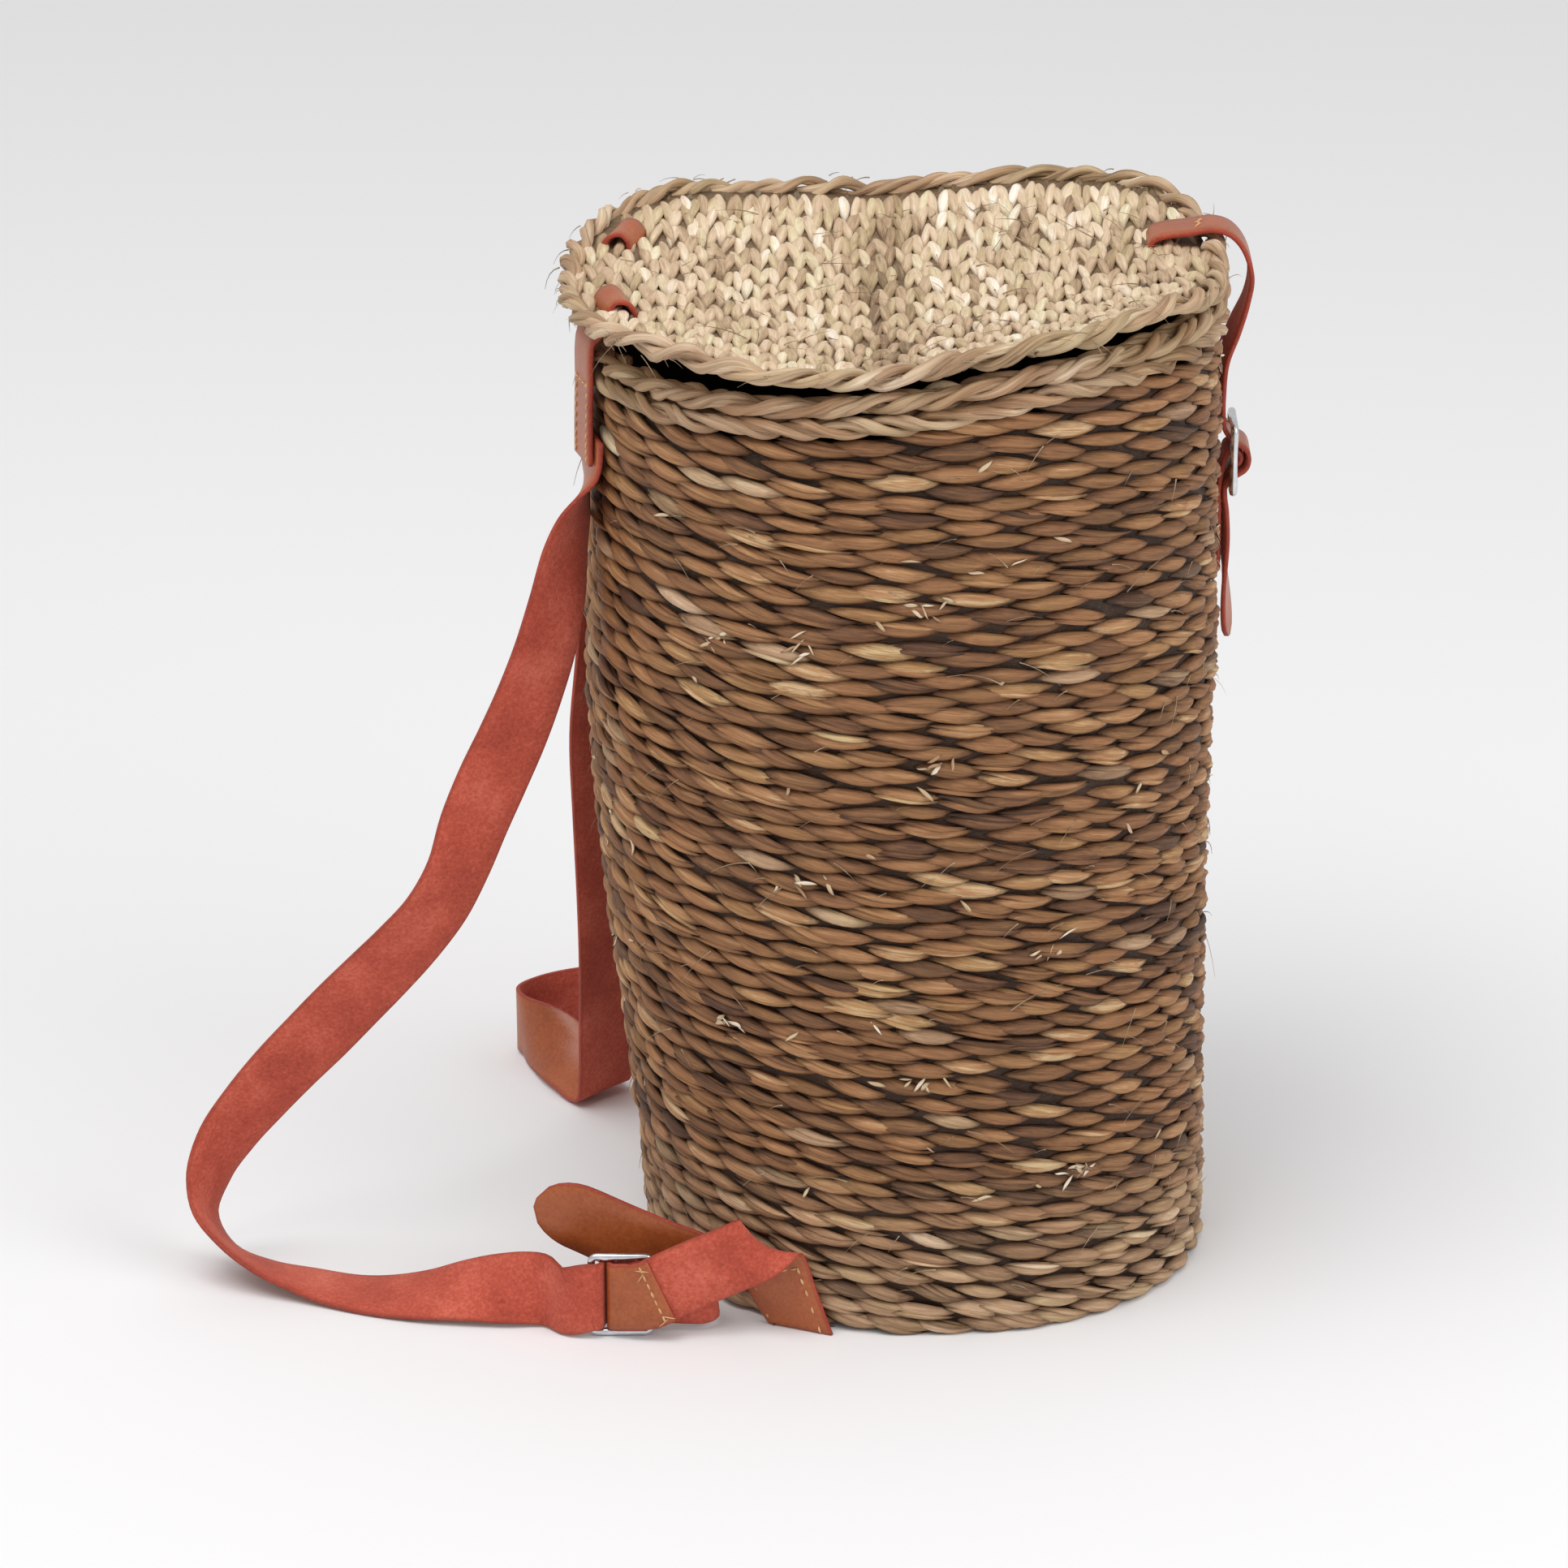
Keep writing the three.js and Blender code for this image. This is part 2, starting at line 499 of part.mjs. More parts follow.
// Buckle rows in place: side -1 is the near one, side 1 the far one, mirrored and turned about its tab.
function placedRows(run, side) {
  const pivot = [TAB_AT.x * BASE_D, TAB_AT.y * BASE_D];
  return run.map((r) => {
    const share = side > 0 ? (r.turn ?? 1) : 0;
    const angle = (FAR_TURN * share * Math.PI) / 180;
    const c = Math.cos(angle);
    const s = Math.sin(angle);
    const dx = BUCKLE_AT.x * BASE_D + r.u * LEATHER - pivot[0];
    const dy = -side * (BUCKLE_AT.y * BASE_D - r.v * LEATHER - pivot[1]);
    const wy = side * r.wv;
    return {
      x: pivot[0] + dx * c - dy * s,
      y: -side * pivot[1] + dx * s + dy * c,
      z: BUCKLE_AT.z * BODY_H + r.z * LEATHER,
      wx: r.wu * c - wy * s,
      wy: r.wu * s + wy * c,
      wz: r.wz,
    };
  });
}

// X of the outer wall face at a side offset and height share; front is 1 or -1.
function wallXAt(front, y, up) {
  const half = BASE_D / 2 + ((TOP_D - BASE_D) / 2) * lookUp(OUTLINE, "up", "wide", up);
  const halfY = half * (0.975 + 0.025 * up);
  const share = Math.pow(1 - Math.pow(Math.abs(y) / halfY, SQUARENESS), 1 / SQUARENESS);
  return front * half * share - LEAN * lookUp(OUTLINE, "up", "lean", up);
}

const CLOSING_Y = 24;
const STRAND = 1.2;

function frontRows(run) {
  const x0 = wallXAt(1, CLOSING_Y, 0.95) + STRAND + LEATHER / 2;
  const z0 = wallTop(x0, CLOSING_Y) + CLEAR + RIM_TALL;
  return run.map((r) => ({
    x: x0 + r.x * LEATHER,
    y: CLOSING_Y,
    z: z0 + r.z * LEATHER,
    wx: r.wx ?? 0,
    wy: r.wy ?? 1,
    wz: 0,
  }));
}

function hingeRows(y) {
  const x0 = wallXAt(-1, y, 1);
  const z0 = wallTop(x0, y) + CLEAR + RIM_TALL;
  const wx = Math.sign(y) * 0.29;
  return HINGE_RUN.map((r) => ({ x: x0 + r.x * LEATHER, y, z: z0 + r.z * LEATHER, wx, wy: 0.957, wz: 0 }));
}

// Flat metal frame with a middle bar, made in the XY plane and centred on the origin.
function frameGeometry(long, wide, barAt, barWide) {
  const block = (x, y) => wasm.Manifold.cube([x, y, WIRE], true);
  const r = WIRE * 0.9;
  const corner = (sx, sy) =>
    wasm.Manifold.cylinder(WIRE, r, r, 16, true).translate([sx * (long / 2 - r), sy * (wide / 2 - r), 0]);
  let solid = block(long - 2 * r, wide).add(block(long, wide - 2 * r));
  for (const [sx, sy] of [[-1, -1], [-1, 1], [1, -1], [1, 1]]) solid = solid.add(corner(sx, sy));
  const windows = [
    [-long / 2 + WIRE, barAt - barWide / 2],
    [barAt + barWide / 2, long / 2 - WIRE],
  ];
  for (const [from, to] of windows) {
    const tool = wasm.Manifold.cube([to - from, wide - 2 * WIRE, 3 * WIRE], true);
    solid = solid.subtract(tool.translate([(from + to) / 2, 0, 0]));
  }
  return geometryOf(solid);
}

function slideBuckleGeometry(side) {
  const geometry = frameGeometry(BUCKLE_LONG, FRAME_TALL, BAR_AT, 2);
  geometry.rotateX(Math.PI / 2);
  const [row] = placedRows([{ u: 0, v: 0, z: 0, wu: 0, wv: 0, wz: 1 }], side);
  if (side > 0) geometry.rotateZ((FAR_TURN * Math.PI) / 180);
  geometry.translate(row.x, row.y, row.z);
  return geometry;
}

function closingBuckleGeometry() {
  const geometry = frameGeometry(30, CLOSING_W + 1.4 + 2 * WIRE, 0, 2);
  geometry.rotateY(Math.PI / 2);
  const [row] = frontRows([{ x: 3.35, z: -41.6 }]);
  geometry.translate(row.x, row.y, row.z);
  return geometry;
}

function manifoldOf(geometry) {
  const merged = new Map();
  const points = geometry.attributes.position;
  const order = [];
  const vertices = [];
  for (let i = 0; i < points.count; i++) {
    const p = [points.getX(i), points.getY(i), points.getZ(i)];
    const key = p.map((v) => Math.round(v * 1e4)).join();
    if (!merged.has(key)) {
      merged.set(key, vertices.length / 3);
      vertices.push(...p);
    }
    order.push(merged.get(key));
  }
  const index = geometry.index ? Array.from(geometry.index.array, (i) => order[i]) : order;
  const mesh = new wasm.Mesh({
    numProp: 3,
    vertProperties: new Float32Array(vertices),
    triVerts: new Uint32Array(index),
  });
  return new wasm.Manifold(mesh);
}

function geometryOf(solid) {
  const mesh = solid.getMesh();
  const n = mesh.numProp;
  const position = new Float32Array(mesh.numVert * 3);
  for (let i = 0; i < mesh.numVert; i++) {
    position.set(mesh.vertProperties.subarray(i * n, i * n + 3), i * 3);
  }
  const geometry = new THREE.BufferGeometry();
  geometry.setAttribute("position", new THREE.BufferAttribute(position, 3));
  geometry.setIndex(new THREE.BufferAttribute(new Uint32Array(mesh.triVerts), 1));
  return geometry;
}

// Lid mat with a clear slit wherever a strap passes through it.
function slitLidGeometry(straps) {
  const solid = straps.reduce((mat, strap) => {
    const thick = LEATHER + 3 * CLEAR;
    const tool = ribbonGeometry(strap.rows, strap.width + 2 * CLEAR, strap.steps, null, thick);
    return mat.subtract(manifoldOf(tool));
  }, manifoldOf(lidMatGeometry()));
  return geometryOf(solid);
}

// Piece with everything below the floor clearance cut away.
function trimmedAtFloor(geometry) {
  return geometryOf(manifoldOf(geometry).trimByPlane([0, 0, 1], CLEAR));
}

const HINGE_Y = { near: -42, far: 46 };

const slitStraps = [
  { rows: hingeRows(HINGE_Y.near), width: HINGE_W, steps: 44 },
  { rows: hingeRows(HINGE_Y.far), width: HINGE_W, steps: 44 },
  { rows: frontRows(CLOSING_RUN), width: CLOSING_W, steps: 84 },
];

const straw = new THREE.MeshStandardMaterial({ color: 0xb08a5c, roughness: 0.9 });
const paleStraw = new THREE.MeshStandardMaterial({ color: 0xc8ae80, roughness: 0.9 });
const leather = new THREE.MeshStandardMaterial({ color: 0xb5603a, roughness: 0.7 });
const metal = new THREE.MeshStandardMaterial({ color: 0xc8ccd0, roughness: 0.25, metalness: 1 });

const part = new THREE.Group();

function addPiece(name, geometry, material) {
  geometry.computeVertexNormals();
  const mesh = new THREE.Mesh(geometry, material.clone());
  mesh.name = name;
  part.add(mesh);
}

function shoulderStrap(run, side) {
  const rows = [...shoulderRows(run), ...placedRows(LONG_THROUGH, side)];
  return ribbonGeometry(rows, SHOULDER_W, 132, roundedTip(0.022));
}

function lowerStrap(side) {
  return trimmedAtFloor(ribbonGeometry(placedRows(LOWER_RUN, side), SHOULDER_W, 64));
}

addPiece("basket_body", bodyGeometry(), straw);
addPiece("rim_braid", rimGeometry(), paleStraw);
addPiece("lid_mat", slitLidGeometry(slitStraps), paleStraw);
addPiece("lid_rope", lidRopeGeometry(), paleStraw);
addPiece("hinge_strap_near", ribbonGeometry(hingeRows(HINGE_Y.near), HINGE_W, 44), leather);
addPiece("hinge_strap_far", ribbonGeometry(hingeRows(HINGE_Y.far), HINGE_W, 44), leather);
addPiece("closing_strap", ribbonGeometry(frontRows(CLOSING_RUN), CLOSING_W, 84, roundedTip(0.05)), leather);
addPiece("closing_buckle", closingBuckleGeometry(), metal);
addPiece("buckle_loop", ribbonGeometry(frontRows(LOOP_RUN), CLOSING_W - 2, 40), leather);
addPiece("shoulder_strap_near", shoulderStrap(NEAR_RUN, -1), leather);
addPiece("shoulder_strap_far", shoulderStrap(FAR_RUN, 1), leather);
addPiece("strap_buckle_near", slideBuckleGeometry(-1), metal);
addPiece("strap_buckle_far", slideBuckleGeometry(1), metal);
addPiece("lower_strap_near", lowerStrap(-1), leather);
addPiece("lower_strap_far", lowerStrap(1), leather);

export default part;
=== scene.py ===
import math

import bmesh
import bpy
import numpy as np
from mathutils import Matrix, Vector


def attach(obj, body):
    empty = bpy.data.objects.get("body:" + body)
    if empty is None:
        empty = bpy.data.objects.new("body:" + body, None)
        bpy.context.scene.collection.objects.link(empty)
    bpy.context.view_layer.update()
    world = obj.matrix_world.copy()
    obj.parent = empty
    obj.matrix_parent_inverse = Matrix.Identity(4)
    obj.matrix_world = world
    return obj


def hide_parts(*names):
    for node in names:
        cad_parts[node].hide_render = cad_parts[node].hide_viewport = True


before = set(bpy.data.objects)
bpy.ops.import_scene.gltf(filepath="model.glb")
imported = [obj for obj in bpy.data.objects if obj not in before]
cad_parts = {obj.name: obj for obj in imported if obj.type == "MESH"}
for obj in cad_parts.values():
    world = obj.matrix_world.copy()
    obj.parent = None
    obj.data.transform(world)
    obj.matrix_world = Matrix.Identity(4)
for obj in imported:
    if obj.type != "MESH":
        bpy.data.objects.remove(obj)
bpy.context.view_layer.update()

MM = 0.001
CHANCE = np.random.RandomState(11)

# Sizes of the bag in millimetres, as in the solids.
BASE_D = 235
TOP_D = 258
BODY_H = 396
LEAN = 11.5
WALL = 6.5
SQUARENESS = 2.15
RIM_TALL = 15.5
RIM_SLOPE = 0.07
LID_LONG = 272
LID_WIDE = 265
LID_THICK = 6.5
LID_DISH = 9
LID_LEVEL = 418
LID_SQUARENESS = 2.5
ROPE_D = 10
LEATHER = 2
SHOULDER_W = 30
HINGE_W = 22
CLOSING_W = 20
LOOP_W = CLOSING_W - 2
WIRE = 2.4
BUCKLE_LONG = 26
CLEAR = 0.4
STRAND = 1.2
LID_X = -LEAN - 4.5
CLOSING_Y = 24
HINGE_Y = {"near": -42, "far": 46}

# Basket outline: height share, width share, lean share.
OUTLINE = np.array(
    [
        (0.0, 0.0, 0.0),
        (0.1, 0.1, 0.13),
        (0.19, 0.26, 0.34),
        (0.285, 0.42, 0.55),
        (0.38, 0.63, 0.76),
        (0.47, 0.8, 0.9),
        (0.56, 0.92, 0.98),
        (0.655, 1.08, 1.02),
        (0.745, 1.04, 1.01),
        (0.835, 0.97, 1.0),
        (0.92, 1.0, 1.0),
        (1.0, 1.0, 1.0),
    ]
)
# Swell of the rim at the -Y side: place along the bag, rise.
RIM_SWELL = np.array([(-0.45, 0.0), (-0.14, 0.1), (0.17, 0.31), (0.43, 0.53), (0.7, 0.7), (0.95, 0.7)])
# Lid edge: place along the bag, rise, extra rise at the -Y side.
LID_EDGE = np.array(
    [
        (-1.0, 0.2, 0.0),
        (-0.82, 0.55, 0.0),
        (-0.66, 0.62, 0.0),
        (-0.36, 0.2, 0.0),
        (-0.07, 0.0, 0.25),
        (0.22, 0.38, 0.65),
        (0.51, 0.95, 0.8),
        (0.8, 1.4, 1.2),
        (1.0, 0.95, 1.4),
    ]
)
# Strap rows: x, y as shares of BASE_D and z of BODY_H, then the direction across the strap.
NEAR_RUN = [
    (-0.5845, -0.179, 0.93, -0.29, 0.96, 0),
    (-0.5855, -0.179, 0.905, -0.26, 0.97, 0),
    (-0.5895, -0.18, 0.887, -0.16, 0.98, -0.04),
    (-0.601, -0.184, 0.866, 0.12, 0.98, -0.16),
    (-0.616, -0.191, 0.84, 0.38, 0.89, -0.26),
    (-0.632, -0.203, 0.8056, 0.56, 0.79, -0.29),
    (-0.646, -0.2187, 0.7568, 0.71, 0.64, -0.31),
    (-0.6664, -0.234, 0.7086, 0.78, 0.53, -0.33),
    (-0.6936, -0.243, 0.6611, 0.83, 0.44, -0.34),
    (-0.7251, -0.2477, 0.6141, 0.87, 0.33, -0.37),
    (-0.76, -0.2515, 0.5679, 0.88, 0.25, -0.39),
    (-0.7928, -0.2587, 0.5217, 0.86, 0.31, -0.41),
    (-0.8209, -0.2681, 0.4742, 0.78, 0.47, -0.42),
    (-0.86, -0.2698, 0.4288, 0.78, 0.43, -0.45),
    (-0.9115, -0.2591, 0.3871, 0.79, 0.32, -0.52),
    (-0.9672, -0.243, 0.3472, 0.79, 0.23, -0.57),
    (-1.0243, -0.226, 0.3076, 0.79, 0.18, -0.59),
    (-1.0813, -0.2106, 0.2674, 0.79, 0.18, -0.59),
    (-1.1387, -0.1966, 0.2278, 0.78, 0.25, -0.57),
    (-1.1936, -0.1868, 0.1871, 0.77, 0.36, -0.53),
    (-1.2438, -0.1838, 0.1462, 0.72, 0.51, -0.47),
    (-1.2783, -0.1945, 0.1048, 0.55, 0.74, -0.39),
    (-1.2851, -0.22, 0.0662, 0.24, 0.88, -0.41),
    (-1.246, -0.2506, 0.037, 0.14, 0.88, -0.44),
    (-1.1783, -0.2762, 0.0185, 0.21, 0.93, -0.3),
    (-1.1009, -0.2991, 0.009, 0.27, 0.95, -0.12),
    (-1.0281, -0.3272, 0.0055, 0.31, 0.95, 0.0),
    (-0.9583, -0.3562, 0.0095, 0.29, 0.95, 0.14),
    (-0.8881, -0.3804, 0.0175, 0.25, 0.92, 0.31),
    (-0.8183, -0.3979, 0.0275, 0.18, 0.83, 0.53),
    (-0.7481, -0.4166, 0.035, 0.1, 0.63, 0.77),
    (-0.6791, -0.437, 0.0395, 0.01, 0.28, 0.96),
]
FAR_RUN = [
    (-0.5768, 0.196, 0.93, 0.3, 0.95, 0),
    (-0.5774, 0.196, 0.895, 0.3, 0.95, 0),
    (-0.581, 0.2, 0.84, 0.32, 0.95, 0),
    (-0.582, 0.213, 0.77, 0.38, 0.92, 0),
    (-0.584, 0.232, 0.69, 0.46, 0.88, 0),
    (-0.588, 0.262, 0.6, 0.6, 0.8, 0),
    (-0.596, 0.298, 0.5, 0.7, 0.71, 0),
    (-0.591, 0.335, 0.4, 0.74, 0.67, 0),
    (-0.586, 0.372, 0.3, 0.75, 0.66, 0),
    (-0.584, 0.412, 0.2, 0.75, 0.66, 0),
    (-0.587, 0.456, 0.11, 0.75, 0.66, 0),
    (-0.59, 0.49, 0.045, 0.74, 0.67, 0.02),
    (-0.596, 0.512, 0.0135, 0.74, 0.67, 0.04),
    (-0.612, 0.535, 0.0092, 0.72, 0.66, 0.12),
    (-0.645, 0.58, 0.022, 0.62, 0.56, 0.42),
    (-0.69, 0.635, 0.0345, 0.4, 0.4, 0.8),
    (-0.744, 0.69, 0.0415, 0, 0, 1),
    (-0.76, 0.74, 0.0415, 0, 0, 1),
    (-0.724, 0.785, 0.0415, 0, 0, 1),
    (-0.66, 0.822, 0.0415, 0, 0, 1),
    (-0.59, 0.838, 0.0415, 0, 0, 1),
    (-0.525, 0.82, 0.043, 0, 0, 1),
    (-0.475, 0.775, 0.046, 0, 0, 1),
]
BUCKLE_AT = (-0.54, -0.484, 0.0475)
TAB_AT = (-0.2426, -0.4477)
FAR_TURN = -50
BAR_AT = -2
# Rows near a slide buckle in leather thicknesses: u along, v outwards, z up, across direction, turn share.
LONG_THROUGH = [
    (-11.5, 0.2, -1.4, 0, 0, 1, 1),
    (-6.5, 1.6, 0, 0, 0, 1, 1),
    (-5.15, 1.55, 0, 0, 0, 1, 1),
    (-4.15, 0.7, 0, 0, 0, 1, 1),
    (-3.8, -0.6, 0, 0, 0, 1, 1),
    (-3.3, -1.8, 0, 0, 0, 1, 1),
    (-2.0, -2.7, 0, 0, 0, 1, 1),
    (0.0, -2.95, 0, 0, 0, 1, 1),
    (7.0, -2.9, -0.2, 0, 0, 1, 1),
    (13.0, -2.8, -0.5, 0, 0, 1, 1),
    (16.8, -3.0, -0.6, 0, 0, 1, 1),
    (18.7, -4.0, -0.4, 0.03, 0, 1, 1),
    (19.3, -5.6, 0.2, 0.08, 0, 1, 1),
    (18.0, -7.0, 1.2, 0.18, 0, 0.98, 1),
    (14.8, -7.8, 2.8, 0.3, 0, 0.95, 1),
    (8.0, -8.8, 5.2, 0.33, 0.03, 0.94, 1),
    (-1.5, -9.6, 9.3, 0.4, 0.06, 0.92, 1),
    (-9.5, -10.4, 12.8, 0.42, 0.08, 0.9, 1),
    (-17.9, -11.6, 15.4, 0.4, 0.1, 0.9, 1),
]
LOWER_RUN = [
    (8.3, 3.0, 2.3, -0.27, 0, 0.96, 1),
    (5.8, 2.85, 1.2, -0.18, 0, 0.98, 1),
    (3.0, 2.4, 0.4, -0.08, 0, 1, 1),
    (0.6, 1.65, 0.1, 0, 0, 1, 1),
    (-1.0, 1.45, 0, 0, 0, 1, 1),
    (-2.05, 1.05, 0, 0, 0, 1, 1),
    (-2.5, 0, 0, 0, 0, 1, 1),
    (-2.05, -1.05, 0, 0, 0, 1, 1),
    (-1.0, -1.45, 0, 0, 0, 1, 1),
    (0.8, -1.15, 0, 0, 0, 1, 1),
    (3.0, 0.35, 0, 0, 0, 1, 1),
    (5.6, 1.62, 0.5, -0.12, 0, 0.99, 1),
    (8.5, 1.65, 2.1, -0.28, 0, 0.96, 1),
    (15.0, 1.45, 5.2, -0.42, 0, 0.9, 1),
    (21.5, 1.35, 8.1, -0.42, 0, 0.9, 0.75),
    (27.2, 0.4, 10.2, -0.42, 0, 0.9, 0.42),
    (28.7, -0.6, 10.7, -0.54, -0.53, 0.65, 0.32),
    (29.8, -2.0, 10.0, -0.84, -0.53, 0.11, 0.2),
    (30.2, -2.65, 8.4, -0.98, -0.1, -0.16, 0.1),
    (31.6, -3.0, 3.4, -0.95, -0.28, -0.2, 0.02),
    (33.9, -3.5, -2.5, -0.87, -0.42, -0.27, 0),
    (36.9, -2.8, -12.0, -0.9, -0.38, -0.25, 0),
]
# Closing strap, buckle loop and hinge strap rows in leather thicknesses.
CLOSING_RUN = [
    (-19.5, -1.2, 0, 1),
    (-17.0, -0.9, 0, 1),
    (-15.4, 0.6, 0, 1),
    (-14.9, 3.2, 0, 1),
    (-13.9, 5.3, 0, 1),
    (-11.4, 6.2, 0, 1),
    (-6.5, 6.8, 0, 1),
    (-2.0, 7.5, 0, 1),
    (1.6, 6.5, 0, 1),
    (4.4, 3.4, 0, 1),
    (6.2, -2.5, 0, 1),
    (5.5, -8.0, 0, 1),
    (3.2, -14.5, -0.12, 1),
    (1.0, -21.0, -0.12, 1),
    (0.45, -28.0, -0.12, 1),
    (0.55, -31.8, -0.1, 1),
    (1.2, -35.2, -0.05, 1),
    (3.4, -37.9, 0, 1),
    (5.8, -39.6, 0, 1),
    (6.5, -41.6, 0, 1),
    (5.9, -43.8, 0, 1),
    (3.4, -45.7, 0, 1),
    (1.8, -47.6, 0, 1),
    (1.45, -49.6, -0.06, 1),
    (1.65, -53.0, -0.11, 1),
    (1.9, -60.0, -0.12, 0.98),
    (2.4, -70.0, 0.1, 0.97),
    (3.2, -82.0, 0.35, 0.93),
]
LOOP_RUN = [
    (0.1, -66.0, -0.12, 1),
    (0.1, -60.0, -0.12, 1),
    (0.1, -53.0, -0.12, 1),
    (0.2, -48.6, -0.07, 1),
    (0.75, -45.0, -0.03, 1),
    (1.6, -41.9, 0, 1),
    (2.15, -40.5, 0, 1),
    (3.35, -40.05, 0, 1),
    (4.45, -40.5, 0, 1),
    (4.9, -41.6, 0, 1),
    (4.5, -42.7, 0, 1),
    (3.35, -43.35, 0, 1),
    (2.55, -44.6, 0, 1),
]
HINGE_RUN = [
    (-2.8, -22.5),
    (-2.8, -18.0),
    (-2.7, -12.0),
    (-2.55, -6.0),
    (-2.5, 0.0),
    (-2.0, 3.2),
    (-0.4, 5.2),
    (0.7, 7.2),
    (1.2, 9.2),
    (2.1, 10.9),
    (3.8, 11.7),
    (5.5, 11.1),
    (6.6, 9.3),
    (7.1, 6.6),
    (8.2, 4.4),
    (10.4, 3.4),
]


def look_up(table, column, at):
    """Eased value of a table's column at each position."""
    place = table[:, 0]
    at = np.clip(np.asarray(at, float), place[0], place[-1])
    i = np.clip(np.searchsorted(place, at) - 1, 0, len(place) - 2)
    t = (at - place[i]) / (place[i + 1] - place[i])
    s = t * t * (3 - 2 * t)
    low = table[i, column]
    return low + (table[i + 1, column] - low) * (0.5 * t + 0.5 * s)


def section_point(angle, half_x, half_y, power):
    c = np.cos(angle)
    s = np.sin(angle)
    r = (np.abs(c) ** power + np.abs(s) ** power) ** (-1 / power)
    return half_x * r * c, half_y * r * s


def nearness(y, half):
    return np.maximum(0, -np.asarray(y) / half) ** 2


def wall_top(x, y):
    swell = RIM_TALL * look_up(RIM_SWELL, 1, np.asarray(x) / (TOP_D / 2))
    return BODY_H + RIM_SLOPE * np.asarray(x) + swell * nearness(y, TOP_D / 2)


def wall_point(angle, up, inset=0.0):
    """Outer face of the basket at an angle and a height share."""
    half = BASE_D / 2 + (TOP_D - BASE_D) / 2 * look_up(OUTLINE, 1, up) - inset
    x, y = section_point(angle, half, half * (0.975 + 0.025 * up), SQUARENESS)
    x = x - LEAN * look_up(OUTLINE, 2, up)
    return np.stack([x, y, up * wall_top(x, y)], -1)


def lid_edge_height(x, y):
    along = (np.asarray(x) - LID_X) / (LID_LONG / 2)
    near = look_up(LID_EDGE, 2, along) * nearness(y, LID_WIDE / 2)
    return LID_LEVEL + ROPE_D * (look_up(LID_EDGE, 1, along) + near)


def lid_height(x, y):
    u = (np.asarray(x) - LID_X) / (LID_LONG / 2)
    v = np.asarray(y) / (LID_WIDE / 2)
    return lid_edge_height(x, y) - 0.2 * ROPE_D - LID_DISH * (1 - np.minimum(1, u * u + v * v))


def wall_x_at(front, y, up):
    half = BASE_D / 2 + (TOP_D - BASE_D) / 2 * float(look_up(OUTLINE, 1, up))
    share = (1 - (abs(y) / (half * (0.975 + 0.025 * up))) ** SQUARENESS) ** (1 / SQUARENESS)
    return front * half * share - LEAN * float(look_up(OUTLINE, 2, up))


# Straps: rows of centre and across direction in millimetres.
def shoulder_rows(run):
    return [(x * BASE_D, y * BASE_D, z * BODY_H, a, b, c) for x, y, z, a, b, c in run]


def placed_rows(run, side):
    pivot = (TAB_AT[0] * BASE_D, TAB_AT[1] * BASE_D)
    rows = []
    for u, v, z, wu, wv, wz, turn in run:
        angle = math.radians(FAR_TURN * turn) if side > 0 else 0.0
        c, s = math.cos(angle), math.sin(angle)
        dx = BUCKLE_AT[0] * BASE_D + u * LEATHER - pivot[0]
        dy = -side * (BUCKLE_AT[1] * BASE_D - v * LEATHER - pivot[1])
        wy = side * wv
        rows.append(
            (
                pivot[0] + dx * c - dy * s,
                -side * pivot[1] + dx * s + dy * c,
                BUCKLE_AT[2] * BODY_H + z * LEATHER,
                wu * c - wy * s,
                wu * s + wy * c,
                wz,
            )
        )
    return rows


def front_rows(run):
    x0 = wall_x_at(1, CLOSING_Y, 0.95) + STRAND + LEATHER / 2
    z0 = float(wall_top(x0, CLOSING_Y)) + CLEAR + RIM_TALL
    return [(x0 + x * LEATHER, CLOSING_Y, z0 + z * LEATHER, wx, wy, 0) for x, z, wx, wy in run]


def hinge_rows(y):
    x0 = wall_x_at(-1, y, 1)
    z0 = float(wall_top(x0, y)) + CLEAR + RIM_TALL
    wx = math.copysign(0.29, y)
    return [(x0 + x * LEATHER, y, z0 + z * LEATHER, wx, 0.957, 0) for x, z in HINGE_RUN]


def spline_value(points, t, centripetal):
    """Catmull-Rom value of a row list at t from 0 to 1."""
    count = len(points)
    place = t * (count - 1)
    i = min(int(place), count - 2)
    w = place - i
    p1, p2 = points[i], points[i + 1]
    p0 = points[i - 1] if i > 0 else 2 * p1 - p2
    p3 = points[i + 2] if i + 2 < count else 2 * p2 - p1
    if centripetal:
        d0 = max(np.linalg.norm(p1 - p0) ** 0.5, 1e-4)
        d1 = max(np.linalg.norm(p2 - p1) ** 0.5, 1e-4)
        d2 = max(np.linalg.norm(p3 - p2) ** 0.5, 1e-4)
        m1 = ((p1 - p0) / d0 - (p2 - p0) / (d0 + d1) + (p2 - p1) / d1) * d1
        m2 = ((p2 - p1) / d1 - (p3 - p1) / (d1 + d2) + (p3 - p2) / d2) * d1
    else:
        m1 = 0.5 * (p2 - p0)
        m2 = 0.5 * (p3 - p1)
    c2 = -3 * p1 + 3 * p2 - 2 * m1 - m2
    c3 = 2 * p1 - 2 * p2 + m1 + m2
    value = p1 + m1 * w + c2 * w * w + c3 * w**3
    slope = m1 + 2 * c2 * w + 3 * c3 * w * w
    return value, slope


def strap_frame(rows, t):
    """Centre, direction along, across and out of a strap at t."""
    table = np.array(rows, float)
    across_rows = table[:, 3:] / np.linalg.norm(table[:, 3:], axis=1)[:, None]
    centre, along = spline_value(table[:, :3], t, True)
    along = along / np.linalg.norm(along)
    across, _ = spline_value(across_rows, t, False)
    across = across - along * across.dot(along)
    across = across / np.linalg.norm(across)
    return centre, along, across, np.cross(along, across)


# Meshes.
def linked(name, data):
    made = bpy.data.objects.new(name, data)
    bpy.context.scene.collection.objects.link(made)
    return made


